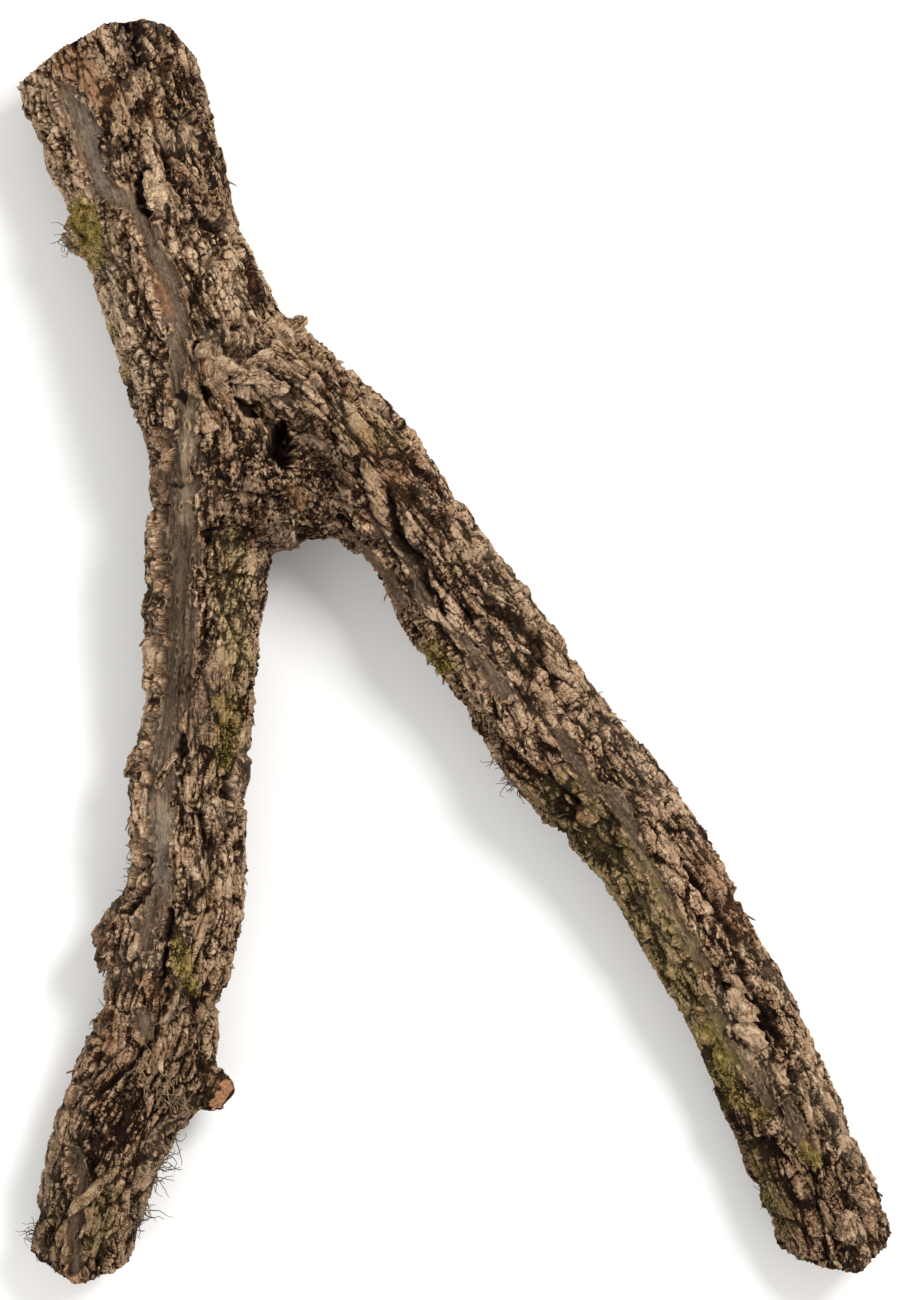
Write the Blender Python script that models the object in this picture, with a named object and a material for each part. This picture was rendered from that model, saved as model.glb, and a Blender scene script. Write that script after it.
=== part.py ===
"""A forked branch of cork oak with its bark on, lying on a surface.

Metres, +Z up. The origin is the bottom centre of the branch's box. The trunk end points to +Y and the two
legs to -Y, so a view from above, with +Y up and +X to the right, shows the fork.

The branch grew as one piece, so it is one solid. It is made in five steps: round limbs are lofted along
their centrelines and fused, bark is raised on them by a formula, the mesh is thinned to a few large
triangles, the three ends are sawn off, and three low points are pared flat where the branch rests.
"""

import math

import bmesh
import bpy
import numpy as np
from mathutils import Matrix, Vector

MM = 0.001

# Driving dimensions, in millimetres.
BASE_VOXEL = 4.0
RING_STEP = 6.0
RING_POINTS = 32
BASE_SMOOTHING = 6
MOST_TRIANGLES = 11000
SAW_REACH = 150.0
REST_PARING = 4.0
PARING_REACH = 1000.0

# One pixel of the 902 x 1300 view from above is this long. The pixel over the origin is the view's centre.
PIXEL = 0.714
VIEW_CENTRE = (454.0, 648.5)

# Centreline stations: x, y, z, half the width in the XY plane, half the height. The stem runs from the
# trunk's sawn end through the fork and down the left leg. The right leg leaves it at the fork.
STEM = (
    (-258.0, 448.0, 58.5, 63.0, 57.0),
    (-252.0, 425.9, 58.5, 64.0, 58.0),
    (-232.1, 365.2, 61.0, 60.0, 56.5),
    (-218.5, 328.1, 64.0, 55.0, 54.0),
    (-206.3, 286.7, 66.0, 53.0, 54.0),
    (-193.5, 249.5, 68.0, 56.0, 56.0),
    (-179.9, 214.6, 70.0, 58.0, 58.0),
    (-175.0, 177.4, 71.0, 51.5, 56.0),
    (-171.4, 141.7, 70.0, 43.0, 51.0),
    (-172.1, 106.0, 68.0, 41.5, 47.0),
    (-174.0, 70.3, 65.0, 43.0, 44.0),
    (-178.0, 34.6, 62.0, 42.0, 43.0),
    (-179.0, -1.0, 59.0, 38.2, 41.0),
    (-182.0, -36.8, 57.0, 36.5, 39.5),
    (-185.5, -72.5, 55.0, 39.0, 39.0),
    (-191.4, -108.2, 53.0, 39.5, 39.0),
    (-189.9, -143.9, 51.0, 39.5, 39.0),
    (-192.5, -179.6, 49.0, 42.0, 39.0),
    (-201.0, -215.3, 47.0, 43.5, 39.0),
    (-208.5, -251.0, 45.0, 40.0, 38.0),
    (-215.0, -286.7, 43.0, 44.5, 38.0),
    (-232.8, -322.4, 41.0, 42.5, 37.0),
    (-247.8, -358.0, 39.0, 39.5, 36.0),
    (-259.2, -393.8, 37.0, 36.0, 34.0),
    (-267.8, -425.9, 36.0, 34.0, 33.0),
    (-269.9, -452.0, 36.0, 29.0, 29.0),
)
RIGHT_LEG = (
    (-163.5, 216.7, 70.0, 38.0, 44.0),
    (-131.4, 191.0, 73.0, 42.0, 46.0),
    (-90.0, 155.3, 74.0, 42.0, 46.0),
    (-53.6, 112.4, 73.0, 42.5, 44.0),
    (-24.3, 76.0, 71.0, 38.5, 42.0),
    (-5.0, 43.9, 69.0, 40.2, 41.0),
    (22.4, 8.5, 67.0, 39.5, 41.0),
    (44.6, -21.6, 65.0, 40.6, 40.0),
    (75.5, -69.2, 62.0, 43.9, 41.0),
    (114.2, -111.0, 59.0, 41.5, 40.0),
    (144.3, -151.0, 56.0, 39.0, 39.5),
    (179.9, -216.7, 52.0, 36.0, 38.0),
    (205.7, -263.1, 49.0, 37.5, 37.0),
    (235.6, -325.9, 44.5, 37.5, 38.0),
    (254.9, -374.5, 41.0, 38.3, 38.5),
    (272.0, -409.5, 39.5, 37.5, 38.0),
    (281.3, -429.5, 39.5, 34.0, 34.5),
    (288.5, -449.0, 39.0, 27.0, 28.0),
)

# Lumps fused to the limbs: centre, then half sizes along X, Y and Z.
LUMPS = (
    ((-133.0, 122.0, 76.0), (50.0, 55.0, 50.0)),
    ((-108.0, 104.0, 80.0), (34.0, 30.0, 36.0)),
    ((-262.0, 293.5, 66.0), (16.0, 12.0, 19.0)),
    ((-237.0, -208.0, 52.0), (16.0, 25.0, 20.0)),
    ((-225.0, -84.0, 56.0), (9.0, 11.0, 11.0)),
    ((-114.0, 228.0, 76.0), (7.0, 8.0, 7.0)),
    ((83.0, -101.0, 54.0), (30.0, 30.0, 28.0)),
)

# The snapped side stub on the left leg: its centreline, and its radius at each point.
STUB = (
    (-206.0, -292.0, 46.0, 34.0, 32.0),
    (-188.0, -305.0, 50.0, 26.0, 25.0),
    (-173.0, -314.0, 54.0, 13.0, 14.0),
    (-164.0, -319.0, 56.0, 8.5, 9.5),
)

# Saw cuts: a point on the plane, and the direction that is cut away.
SAW_CUTS = (
    ((-294.5, 411.0, 60.0), (-0.56, 0.828, 0.0)),
    ((-261.0, 432.0, 60.0), (-0.50, 0.866, 0.0)),
    ((-232.0, 442.5, 60.0), (-0.14, 0.99, 0.0)),
    ((-211.0, 443.0, 60.0), (0.2, 0.98, 0.0)),
    ((-197.0, 436.5, 60.0), (0.74, 0.67, 0.0)),
    ((-286.0, -440.5, 36.0), (-0.45, -0.88, -0.18)),
    ((-250.0, -444.5, 36.0), (0.22, -0.96, -0.18)),
    ((262.0, -437.0, 39.0), (-0.14, -0.98, -0.18)),
    ((297.0, -431.0, 39.0), (0.60, -0.78, -0.18)),
)

BARK_COLOUR = (0.19, 0.13, 0.09)

# Bark: long ridges that break into blocks. Sizes are along and twice across the limb, in millimetres.
BARK_RISE = 2.3
LINE_STEP = 3.0
CHUNK = 20000
LIMB_SHARPNESS = 9.0
WANDER_LENGTH = np.array((70.0, 34.0, 34.0))
WANDER = np.array((9.0, 7.0, 7.0))
WANDER_SEEDS = (11, 12, 13)
RIDGE_SIZE = np.array((74.0, 24.0, 24.0))
RIDGE_CRACK = 0.30
RIDGE_DEPTH = 6.5
RIDGE_STEP = 3.0
RIDGE_SEED = 21
BLOCK_SIZE = np.array((24.0, 12.0, 12.0))
BLOCK_CRACK = 0.25
BLOCK_DEPTH = 2.0
BLOCK_STEP = 2.2
BLOCK_SEED = 31

# The crumbly callus over the fork.
CALLUS_CENTRE = np.array((-124.0, 112.0, 82.0))
CALLUS_HALF_SIZE = np.array((58.0, 62.0, 62.0))
CALLUS_EDGE = (0.75, 1.15)
CALLUS_SIZE = 17.0
CALLUS_DEPTH = 5.0
CALLUS_SEED = 41

# Features of the upper side: half width and depth or height in millimetres, and a path in pixels of the
# view. Each profile runs from its full depth to nothing between two shares of the half width.
UPPER_SIDE = (-0.15, 0.25)
GROOVE_PROFILE = (0.7, 1.15)
RIDGE_PROFILE = (0.2, 1.0)
FURROW_PROFILE = (0.3, 1.0)
SMOOTH_GROOVES = (
    (6.5, 4.5, ((57, 92), (66, 108), (84, 130), (98, 160), (107, 188), (122, 204), (138, 216))),
    (5.5, 5.0, ((138, 216), (149, 232), (156, 252), (165, 275), (174, 296), (181, 318), (183, 340))),
    (4.5, 5.5, ((183, 340), (181, 360), (180, 385), (184, 404))),
    (7.0, 4.5, ((192, 414), (190, 436), (185, 462))),
    (12.0, 5.0, ((181, 480), (180, 520), (180, 560), (179, 600), (179, 645))),
    (9.0, 4.5, ((178, 660), (172, 700), (162, 735), (158, 765), (157, 790))),
    (10.0, 4.5, ((161, 808), (160, 850), (160, 878), (152, 915))),
    (9.0, 4.0, ((152, 905), (147, 935))),
    (6.0, 4.5, ((76, 1155), (82, 1177), (80, 1205), (72, 1231), (76, 1270))),
    (6.0, 4.0, ((352, 538), (375, 567), (401, 604))),
    (6.5, 4.0, ((465, 645), (484, 670), (501, 692))),
    (12.0, 3.5, ((577, 752), (577, 776))),
    (5.5, 5.0, ((607, 788), (626, 814), (634, 839), (646, 867), (660, 895), (675, 924), (699, 962))),
    (6.5, 4.5, ((708, 1003), (712, 1032), (731, 1051), (757, 1077), (764, 1103))),
    (6.5, 4.5, ((786, 1101), (790, 1120), (801, 1144))),
    (7.0, 3.0, ((143, 1015), (145, 1027))),
)
RIDGES = (
    (6.0, 4.0, ((156, 440), (155, 500), (156, 560), (155, 620), (153, 690))),
    (6.0, 3.5, ((146, 790), (139, 830), (140, 865))),
    (5.0, 4.0, ((159, 880), (151, 894), (139, 910), (132, 923))),
    (6.0, 4.0, ((165, 1144), (139, 1160), (117, 1177), (93, 1194))),
    (5.0, 3.0, ((373, 434), (393, 456), (410, 484), (432, 508), (449, 525))),
    (10.0, 3.5, ((673, 868), (695, 894), (713, 920), (728, 945), (738, 968))),
    (10.0, 3.5, ((727, 1000), (745, 1035))),
    (9.0, 4.0, ((206, 352), (222, 340), (240, 342), (256, 350))),
    (8.0, 4.0, ((246, 372), (266, 385), (284, 408))),
    (7.0, 3.5, ((126, 225), (140, 262), (150, 290), (162, 330), (168, 380))),
    (7.0, 3.5, ((186, 190), (192, 215))),
    (5.0, 3.5, ((501, 607), (532, 627), (540, 653), (566, 692), (597, 742))),
    (6.0, 3.5, ((628, 792), (650, 820), (671, 843))),
)
FURROWS = (
    (9.0, 22.0, ((289, 461),)),
    (6.5, 9.0, ((291, 428), (290, 452))),
    (8.0, 5.0, ((182, 400),)),
    (4.5, 7.0, ((244, 405), (258, 416))),
    (4.0, 7.0, ((210, 393), (212, 406))),
    (4.0, 6.0, ((202, 350), (203, 340), (212, 333), (226, 330), (240, 332))),
    (5.0, 7.0, ((168, 150), (171, 172))),
    (5.0, 7.0, ((150, 180), (146, 200), (152, 218))),
    (4.5, 7.0, ((206, 226), (218, 232))),
    (5.0, 8.0, ((391, 497), (394, 530), (401, 545), (419, 565), (428, 586), (440, 612))),
    (4.5, 7.0, ((172, 907), (171, 923), (168, 941), (166, 974))),
    (4.5, 7.0, ((169, 988), (166, 1000), (165, 1013))),
    (6.0, 7.0, ((182, 738), (183, 757))),
    (6.5, 6.0, ((227, 786),)),
    (6.0, 6.0, ((151, 885), (138, 902), (131, 916))),
    (4.0, 5.5, ((206, 800), (208, 856))),
    (11.0, 7.0, ((566, 802),)),
    (4.5, 7.0, ((683, 863), (701, 892), (716, 908), (730, 935), (740, 961), (744, 982))),
    (4.5, 7.0, ((745, 992), (755, 1012), (761, 1032), (768, 1042))),
    (6.0, 7.0, ((790, 1071),)),
    (5.5, 6.0, ((726, 988),)),
    (5.0, 6.0, ((113, 1140), (97, 1158), (88, 1170))),
)


def clear_scene():
    for thing in list(bpy.data.objects):
        bpy.data.objects.remove(thing)


def from_view(points):
    """Pixels of the view from above as X and Y in millimetres."""
    pixels = np.array(points, float)
    return np.column_stack(
        [(pixels[:, 0] - VIEW_CENTRE[0]) * PIXEL, (VIEW_CENTRE[1] - pixels[:, 1]) * PIXEL]
    )


# Smooth functions and noise, the same on every run.


def ramp(low, high, values):
    """0 below low, 1 above high, and smooth between."""
    t = np.clip((values - low) / (high - low), 0.0, 1.0)
    return t * t * (3.0 - 2.0 * t)


def hashed(cells, seed):
    """A number from 0 to 1 for each whole-number cell."""
    with np.errstate(over="ignore"):
        n = cells.astype(np.int64).astype(np.uint32)
        h = n[..., 0] * np.uint32(0x8DA6B343)
        h ^= n[..., 1] * np.uint32(0xD8163841)
        h ^= n[..., 2] * np.uint32(0xCB1AB31F)
        h ^= np.uint32(seed * 0x9E3779B1 & 0xFFFFFFFF)
        h = (h ^ (h >> np.uint32(15))) * np.uint32(0x2C1B3C6D)
        h = (h ^ (h >> np.uint32(12))) * np.uint32(0x297A2D39)
        h ^= h >> np.uint32(15)
    return h.astype(np.float64) / 2.0**32


CORNERS = [(i, j, k) for i in (0, 1) for j in (0, 1) for k in (0, 1)]
NEIGHBOURS = [(i, j, k) for i in (-1, 0, 1) for j in (-1, 0, 1) for k in (-1, 0, 1)]


def value_noise(points, seed):
    """Smooth noise from -1 to 1, with one bump for each unit of length."""
    cell = np.floor(points)
    t = points - cell
    t = t * t * (3.0 - 2.0 * t)
    total = np.zeros(len(points))
    for corner in CORNERS:
        weight = np.prod(np.where(corner, t, 1.0 - t), axis=1)
        total += weight * hashed(cell + corner, seed)
    return 2.0 * total - 1.0


def fractal(points, seed, octaves=3):
    """Layers of noise, each half as tall and twice as fine as the one before."""
    total = np.zeros(len(points))
    for octave in range(octaves):
        total += value_noise(points * 2.0**octave, seed + octave) / 2.0**octave
    return total / (2.0 - 2.0 ** (1 - octaves))


def plates(points, seed):
    """Cracks between irregular plates: how far the nearest crack is, and a random level for each plate."""
    cell = np.floor(points)
    nearest = np.full(len(points), 9.0)
    second = np.full(len(points), 9.0)
    level = np.zeros(len(points))
    for step in NEIGHBOURS:
        there = cell + step
        seedpoint = there + np.column_stack([hashed(there, seed + axis) for axis in range(3)])
        distance = np.linalg.norm(points - seedpoint, axis=1)
        closer = distance < nearest
        second = np.where(closer, nearest, np.minimum(second, distance))
        level = np.where(closer, hashed(there, seed + 7), level)
        nearest = np.where(closer, distance, nearest)
    return second - nearest, level


# Round limbs lofted along their centrelines.


def smooth_line(stations, step):
    """Stations of a limb at an even step along a Catmull-Rom curve through the given ones."""
    given = np.array(stations, float)
    padded = np.vstack([2 * given[0] - given[1], given, 2 * given[-1] - given[-2]])
    found = []
    for a, b, c, d in zip(padded, padded[1:], padded[2:], padded[3:]):
        count = max(1, round(float(np.linalg.norm((c - b)[:3])) / step))
        for t in np.arange(count) / count:
            cubic = (2 * a - 5 * b + 4 * c - d) * t**2 + (3 * b - a - 3 * c + d) * t**3
            found.append(b + 0.5 * ((c - a) * t + cubic))
    found.append(given[-1])
    return np.array(found)


def directions(line):
    """The unit vectors along, to the side of and up from the limb at each station."""
    along = np.gradient(line[:, :3], axis=0)
    along /= np.linalg.norm(along, axis=1)[:, None]
    side = np.cross(along, (0.0, 0.0, 1.0))
    side /= np.linalg.norm(side, axis=1)[:, None]
    return along, side, np.cross(side, along)


def loft(bm, stations):
    """A closed tube: a circle at each station, scaled to its width and height, bridged to the one before."""
    line = smooth_line(stations, RING_STEP)
    along, side, up = directions(line)
    before = None
    for station, *axes in zip(line, side, up, along):
        turned = Matrix([Vector(axis) for axis in axes]).transposed().to_4x4()
        sized = Matrix.Diagonal((station[3], station[4], 1.0, 1.0))
        placed = Matrix.Translation(Vector(station[:3]) * MM) @ turned @ Matrix.Scale(MM, 4) @ sized
        made = bmesh.ops.create_circle(bm, segments=RING_POINTS, radius=1.0, matrix=placed)
        ring = list({edge for vertex in made["verts"] for edge in vertex.link_edges})
        if before is None:
            first = ring
        else:
            bmesh.ops.bridge_loops(bm, edges=before + ring)
        before = ring
    bmesh.ops.edgenet_fill(bm, edges=first)
    bmesh.ops.edgenet_fill(bm, edges=before)


def lump(bm, centre, half_sizes):
    """A rounded swelling that overlaps a limb."""
    placed = Matrix.Translation(Vector(centre) * MM) @ Matrix.Diagonal((*half_sizes, 1.0))
    placed = placed @ Matrix.Scale(MM, 4)
    bmesh.ops.create_icosphere(bm, subdivisions=3, radius=1.0, matrix=placed)


def evaluated(mesh, kind, **settings):
    """The mesh after one modifier of that kind."""
    holder = bpy.data.objects.new("holder", mesh)
    bpy.context.scene.collection.objects.link(holder)
    modifier = holder.modifiers.new("step", kind)
    for name, value in settings.items():
        setattr(modifier, name, value)
    graph = bpy.context.evaluated_depsgraph_get()
    made = bpy.data.meshes.new_from_object(holder.evaluated_get(graph))
    bpy.data.objects.remove(holder)
    return made


def bare_limbs():
    """The limbs, lumps and stub fused into one smooth skin."""
    bm = bmesh.new()
    for stations in (STEM, RIGHT_LEG, STUB):
        loft(bm, stations)
    for centre, half_sizes in LUMPS:
        lump(bm, centre, half_sizes)
    bmesh.ops.recalc_face_normals(bm, faces=bm.faces)
    mesh = bpy.data.meshes.new("limbs")
    bm.to_mesh(mesh)
    bm.free()
    mesh = evaluated(mesh, "REMESH", mode="VOXEL", voxel_size=BASE_VOXEL * MM)
    mesh = evaluated(mesh, "SMOOTH", factor=0.5, iterations=BASE_SMOOTHING)
    return evaluated(mesh, "SUBSURF", levels=1, render_levels=1)


# Bark.


def along_limb(points, stations):
    """Where each point is on a limb: along, to the side and up, in millimetres, and its depth share."""
    line = smooth_line(stations, LINE_STEP)
    along, side, up = directions(line)
    nearest = np.empty(len(points), int)
    for start in range(0, len(points), CHUNK):
        part = points[start : start + CHUNK, None, :] - line[None, :, :3]
        nearest[start : start + CHUNK] = np.argmin(np.einsum("nsi,nsi->ns", part, part), axis=1)
    travelled = np.concatenate([[0.0], np.cumsum(np.linalg.norm(np.diff(line[:, :3], axis=0), axis=1))])
    offset = points - line[nearest, :3]
    ahead = np.einsum("ni,ni->n", offset, along[nearest])
    to_side = np.einsum("ni,ni->n", offset, side[nearest])
    upward = np.einsum("ni,ni->n", offset, up[nearest])
    share = np.hypot(to_side / line[nearest, 3], upward / line[nearest, 4])
    return np.column_stack([travelled[nearest] + ahead, to_side, upward]), share


def near_path(plan, path):
    """The distance in the XY plane from each point to a path, in millimetres."""
    found = np.full(len(plan), 1e3)
    for a, b in zip(path, path[1:] if len(path) > 1 else path):
        leg = b - a
        t = np.clip(((plan - a) @ leg) / max(leg @ leg, 1e-9), 0.0, 1.0)
        found = np.minimum(found, np.linalg.norm(plan - a - t[:, None] * leg, axis=1))
    return found


def cork(place):
    """Long ridges and the blocks they break into, in millimetres above the skin, for a place on a limb."""
    wander = np.column_stack([fractal(place / WANDER_LENGTH, seed, 2) for seed in WANDER_SEEDS])
    place = place + wander * WANDER
    gap, level = plates(place / RIDGE_SIZE, RIDGE_SEED)
    height = BARK_RISE + RIDGE_DEPTH * (ramp(0.0, RIDGE_CRACK, gap) - 1.0) + RIDGE_STEP * (level - 0.5)
    gap, level = plates(place / BLOCK_SIZE, BLOCK_SEED)
    return height + BLOCK_DEPTH * (ramp(0.0, BLOCK_CRACK, gap) - 1.0) + BLOCK_STEP * (level - 0.5)


def within(plan, half_width, profile, path):
    """1 along a path, falling to 0 at its edge."""
    full, none = profile
    return 1.0 - ramp(half_width * full, half_width * none, near_path(plan, from_view(path)))


def bark(points, normals):
    """How far the bark stands above the bare skin at each point, in millimetres."""
    parts = [along_limb(points, stations) for stations in (STEM, RIGHT_LEG)]
    pull = np.array([np.exp(-LIMB_SHARPNESS * share) for _, share in parts])
    pull /= pull.sum(axis=0)
    height = sum(weight * cork(place) for weight, (place, _) in zip(pull, parts))
    crumble = CALLUS_DEPTH * fractal(points / CALLUS_SIZE, CALLUS_SEED, 3)
    away = np.linalg.norm((points - CALLUS_CENTRE) / CALLUS_HALF_SIZE, axis=1)
    height += (crumble - height) * (1.0 - ramp(*CALLUS_EDGE, away))

    plan = points[:, :2]
    facing_up = ramp(*UPPER_SIDE, normals[:, 2])
    for half_width, depth, path in SMOOTH_GROOVES:
        height += facing_up * within(plan, half_width, GROOVE_PROFILE, path) * (-depth - height)
    for half_width, rise, path in RIDGES:
        height += facing_up * within(plan, half_width, RIDGE_PROFILE, path) * rise
    for half_width, depth, path in FURROWS:
        height -= facing_up * within(plan, half_width, FURROW_PROFILE, path) * depth
    return height


def raise_bark(mesh):
    """Moves each vertex along its normal by the height of the bark there."""
    points = np.empty(len(mesh.vertices) * 3)
    mesh.vertices.foreach_get("co", points)
    points = points.reshape(-1, 3) / MM
    normals = np.empty(len(mesh.vertices) * 3)
    mesh.vertices.foreach_get("normal", normals)
    normals = normals.reshape(-1, 3)
    moved = points + normals * bark(points, normals)[:, None]
    mesh.vertices.foreach_set("co", (moved * MM).ravel())
    mesh.update()


def thinned(mesh, most):
    """The mesh with its flatter triangles merged, until no more than that many are left."""
    mesh.calc_loop_triangles()
    return evaluated(mesh, "DECIMATE", ratio=most / len(mesh.loop_triangles))


def cut_flat(bm, point, outward, reach):
    """Cuts off what lies beyond a plane, as far as reach from the point, and closes the cut flat."""
    middle = Vector(point) * MM
    faces = [face for face in bm.faces if (face.calc_center_median() - middle).length < reach * MM]
    edges = list({edge for face in faces for edge in face.edges})
    verts = list({vertex for face in faces for vertex in face.verts})
    cut = bmesh.ops.bisect_plane(
        bm, geom=verts + edges + faces, plane_co=middle, plane_no=Vector(outward), clear_outer=True
    )
    rim = [item for item in cut["geom_cut"] if isinstance(item, bmesh.types.BMEdge)]
    bmesh.ops.edgenet_fill(bm, edges=rim)


def closed_solid(mesh):
    """Saws the ends, pares the resting spots and moves the origin to the bottom centre of the box."""
    bm = bmesh.new()
    bm.from_mesh(mesh)
    for point, outward in SAW_CUTS:
        cut_flat(bm, point, outward, SAW_REACH)
    lowest = min(vertex.co.z for vertex in bm.verts) / MM
    cut_flat(bm, (0.0, 0.0, lowest + REST_PARING), (0.0, 0.0, -1.0), PARING_REACH)
    bmesh.ops.triangulate(bm, faces=bm.faces)
    low = Vector([min(vertex.co[axis] for vertex in bm.verts) for axis in range(3)])
    high = Vector([max(vertex.co[axis] for vertex in bm.verts) for axis in range(3)])
    origin = Vector(((low.x + high.x) / 2, (low.y + high.y) / 2, low.z))
    bmesh.ops.translate(bm, verts=bm.verts, vec=-origin)
    print("origin at", [round(value / MM, 3) for value in origin])
    bm.to_mesh(mesh)
    bm.free()


def bark_material():
    """Grey-brown cork bark."""
    material = bpy.data.materials.new("cork_bark")
    material.use_nodes = True
    shader = material.node_tree.nodes["Principled BSDF"]
    shader.inputs["Base Color"].default_value = (*BARK_COLOUR, 1.0)
    shader.inputs["Roughness"].default_value = 0.9
    shader.inputs["Metallic"].default_value = 0.0
    return material


def main():
    clear_scene()
    mesh = bare_limbs()
    raise_bark(mesh)
    mesh = thinned(mesh, MOST_TRIANGLES)
    closed_solid(mesh)
    mesh.materials.clear()
    mesh.materials.append(bark_material())
    mesh.shade_smooth()
    branch = bpy.data.objects.new("branch", mesh)
    bpy.context.scene.collection.objects.link(branch)


main()
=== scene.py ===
# %% [markdown]
# # Cork bark branch
#
# A forked branch of cork oak with its bark on, lying on a pale floor, seen from straight above. Cork is a thick,
# light bark of dead cells. As the branch grows thicker the bark can't stretch, so it tears into long ridges, the
# ridges crack across into blocks, and old layers weather to grey-tan while the deep furrows stay dark brown.
#
# The object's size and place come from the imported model, which this script loads first. The branch itself is
# then made again with far finer bark, from the same centrelines and the same bark formula.

import math
import random

import bmesh
import bpy
import numpy as np
from mathutils import Matrix, Vector, noise


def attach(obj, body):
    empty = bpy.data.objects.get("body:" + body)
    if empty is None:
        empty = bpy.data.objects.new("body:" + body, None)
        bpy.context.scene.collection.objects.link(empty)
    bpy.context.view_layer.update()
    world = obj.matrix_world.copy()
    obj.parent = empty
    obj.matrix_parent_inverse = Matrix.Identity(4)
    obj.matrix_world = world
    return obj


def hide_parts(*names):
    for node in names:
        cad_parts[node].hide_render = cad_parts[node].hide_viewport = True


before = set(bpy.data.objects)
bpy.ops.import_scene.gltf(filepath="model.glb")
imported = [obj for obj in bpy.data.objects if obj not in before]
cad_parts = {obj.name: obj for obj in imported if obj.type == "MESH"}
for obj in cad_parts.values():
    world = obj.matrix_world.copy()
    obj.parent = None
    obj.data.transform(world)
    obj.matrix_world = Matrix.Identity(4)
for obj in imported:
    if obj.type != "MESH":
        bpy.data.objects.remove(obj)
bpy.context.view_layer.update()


# %% [markdown]
# ## Sizes that everything shares
#
# All sizes below are in millimetres, in the frame in which the branch was designed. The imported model's origin is
# the bottom centre of its box, so one shift brings the design to it. A place on the upper side is written as it
# is seen in the 902 x 1300 view from above, in which a pixel is 0.714 mm.

# %% Units and the view from above
MM = 0.001
ORIGIN = np.array((1.882, -4.493, 3.612))
PIXEL = 0.714
VIEW_SIZE = (902, 1300)
VIEW_CENTRE = (454.0, 648.5)


def from_view(points):
    """Pixels of the view from above as X and Y in millimetres."""
    pixels = np.array(points, float)
    return np.column_stack([(pixels[:, 0] - VIEW_CENTRE[0]) * PIXEL, (VIEW_CENTRE[1] - pixels[:, 1]) * PIXEL])


# %% [markdown]
# ## Camera, floor and light
#
# The photograph looks straight down from far away. A long lens at 4 m keeps the limbs from spreading with their
# height. The light is a studio's: one large soft panel from the upper right, a weaker one from the lower left,
# and an even pale surround, over a plain white floor.

# %% Camera
CAMERA_HEIGHT = 4.0
LIMB_HEIGHT = 0.055

view_middle = from_view([(VIEW_SIZE[0] / 2, VIEW_SIZE[1] / 2)])[0] - ORIGIN[:2]
view_length = VIEW_SIZE[1] * PIXEL * MM
camera = bpy.data.cameras.new("camera")
camera.sensor_width = 36.0
camera.lens = camera.sensor_width * (CAMERA_HEIGHT - LIMB_HEIGHT) / view_length
camera_object = bpy.data.objects.new("camera", camera)
camera_object.location = (view_middle[0] * MM, view_middle[1] * MM, CAMERA_HEIGHT)
bpy.context.scene.collection.objects.link(camera_object)
bpy.context.scene.camera = camera_object
print("lens", round(camera.lens, 1), "mm at", CAMERA_HEIGHT, "m")


# %% Colours and nodes
def colour(hex_text):
    """An sRGB hex colour as linear RGBA."""
    channels = [int(hex_text[i : i + 2], 16) / 255 for i in (1, 3, 5)]
    return (*(c / 12.92 if c <= 0.04045 else ((c + 0.055) / 1.055) ** 2.4 for c in channels), 1.0)


def new_material(name):
    """A node material with nothing but its shader; returns the material and the shader."""
    material = bpy.data.materials.new(name)
    material.use_nodes = True
    return material, material.node_tree.nodes["Principled BSDF"]


def add_node(tree, kind, settings, output=0):
    """Adds a node and returns one of its outputs, or the node itself for None.

    A setting is a property, or a socket by name or number. A socket takes a value, a hex colour, or the output of
    another node, which is then linked to it.
    """
    node = tree.nodes.new(kind)
    for name, value in settings.items():
        if isinstance(name, str) and hasattr(node, name):
            setattr(node, name, value)
        elif isinstance(value, bpy.types.NodeSocket):
            tree.links.new(value, node.inputs[name])
        else:
            node.inputs[name].default_value = colour(value) if isinstance(value, str) else value
    return node if output is None else node.outputs[output]


def pattern_scale(size):
    """The scale of a Mapping node at which a pattern has that size in millimetres."""
    return [1.0 / (MM * length) for length in size]


def speckled(tree, speckle, deep, light):
    """A deep and a light colour, mixed as a noise says."""
    share = add_node(tree, "ShaderNodeMapRange", {"Value": speckle, "From Min": 0.35, "From Max": 0.65})
    return add_node(tree, "ShaderNodeMix", {"data_type": "RGBA", 0: share, 6: deep, 7: light}, 2)


def layered(tree, face, layers):
    """Colours laid over a face. Each: its colour, what it follows, where it starts and is full, its strength."""
    for paint, follows, low, high, strength in layers:
        settings = {"interpolation_type": "SMOOTHSTEP", "Value": follows, "From Min": low, "From Max": high}
        share = add_node(tree, "ShaderNodeMapRange", {**settings, "To Max": strength})
        face = add_node(tree, "ShaderNodeMix", {"data_type": "RGBA", 0: share, 6: face, 7: paint}, 2)
    return face


# %% Floor and light
floor_bm = bmesh.new()
bmesh.ops.create_grid(floor_bm, x_segments=1, y_segments=1, size=8.0)
floor_mesh = bpy.data.meshes.new("floor")
floor_bm.to_mesh(floor_mesh)
floor_bm.free()
floor = bpy.data.objects.new("floor", floor_mesh)
bpy.context.scene.collection.objects.link(floor)
floor_paint, floor_shader = new_material("matte_white_paint")
floor_shader.inputs["Base Color"].default_value = colour("#f4f3f1")
floor_shader.inputs["Roughness"].default_value = 0.9
floor_mesh.materials.append(floor_paint)


def soft_panel(name, place, size, power):
    """A square studio panel that faces the branch."""
    light = bpy.data.lights.new(name, "AREA")
    light.size = size
    light.energy = power
    panel = bpy.data.objects.new(name, light)
    panel.location = place
    panel.rotation_mode = "QUATERNION"
    panel.rotation_quaternion = (-Vector(place)).to_track_quat("-Z", "Y")
    bpy.context.scene.collection.objects.link(panel)


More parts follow.
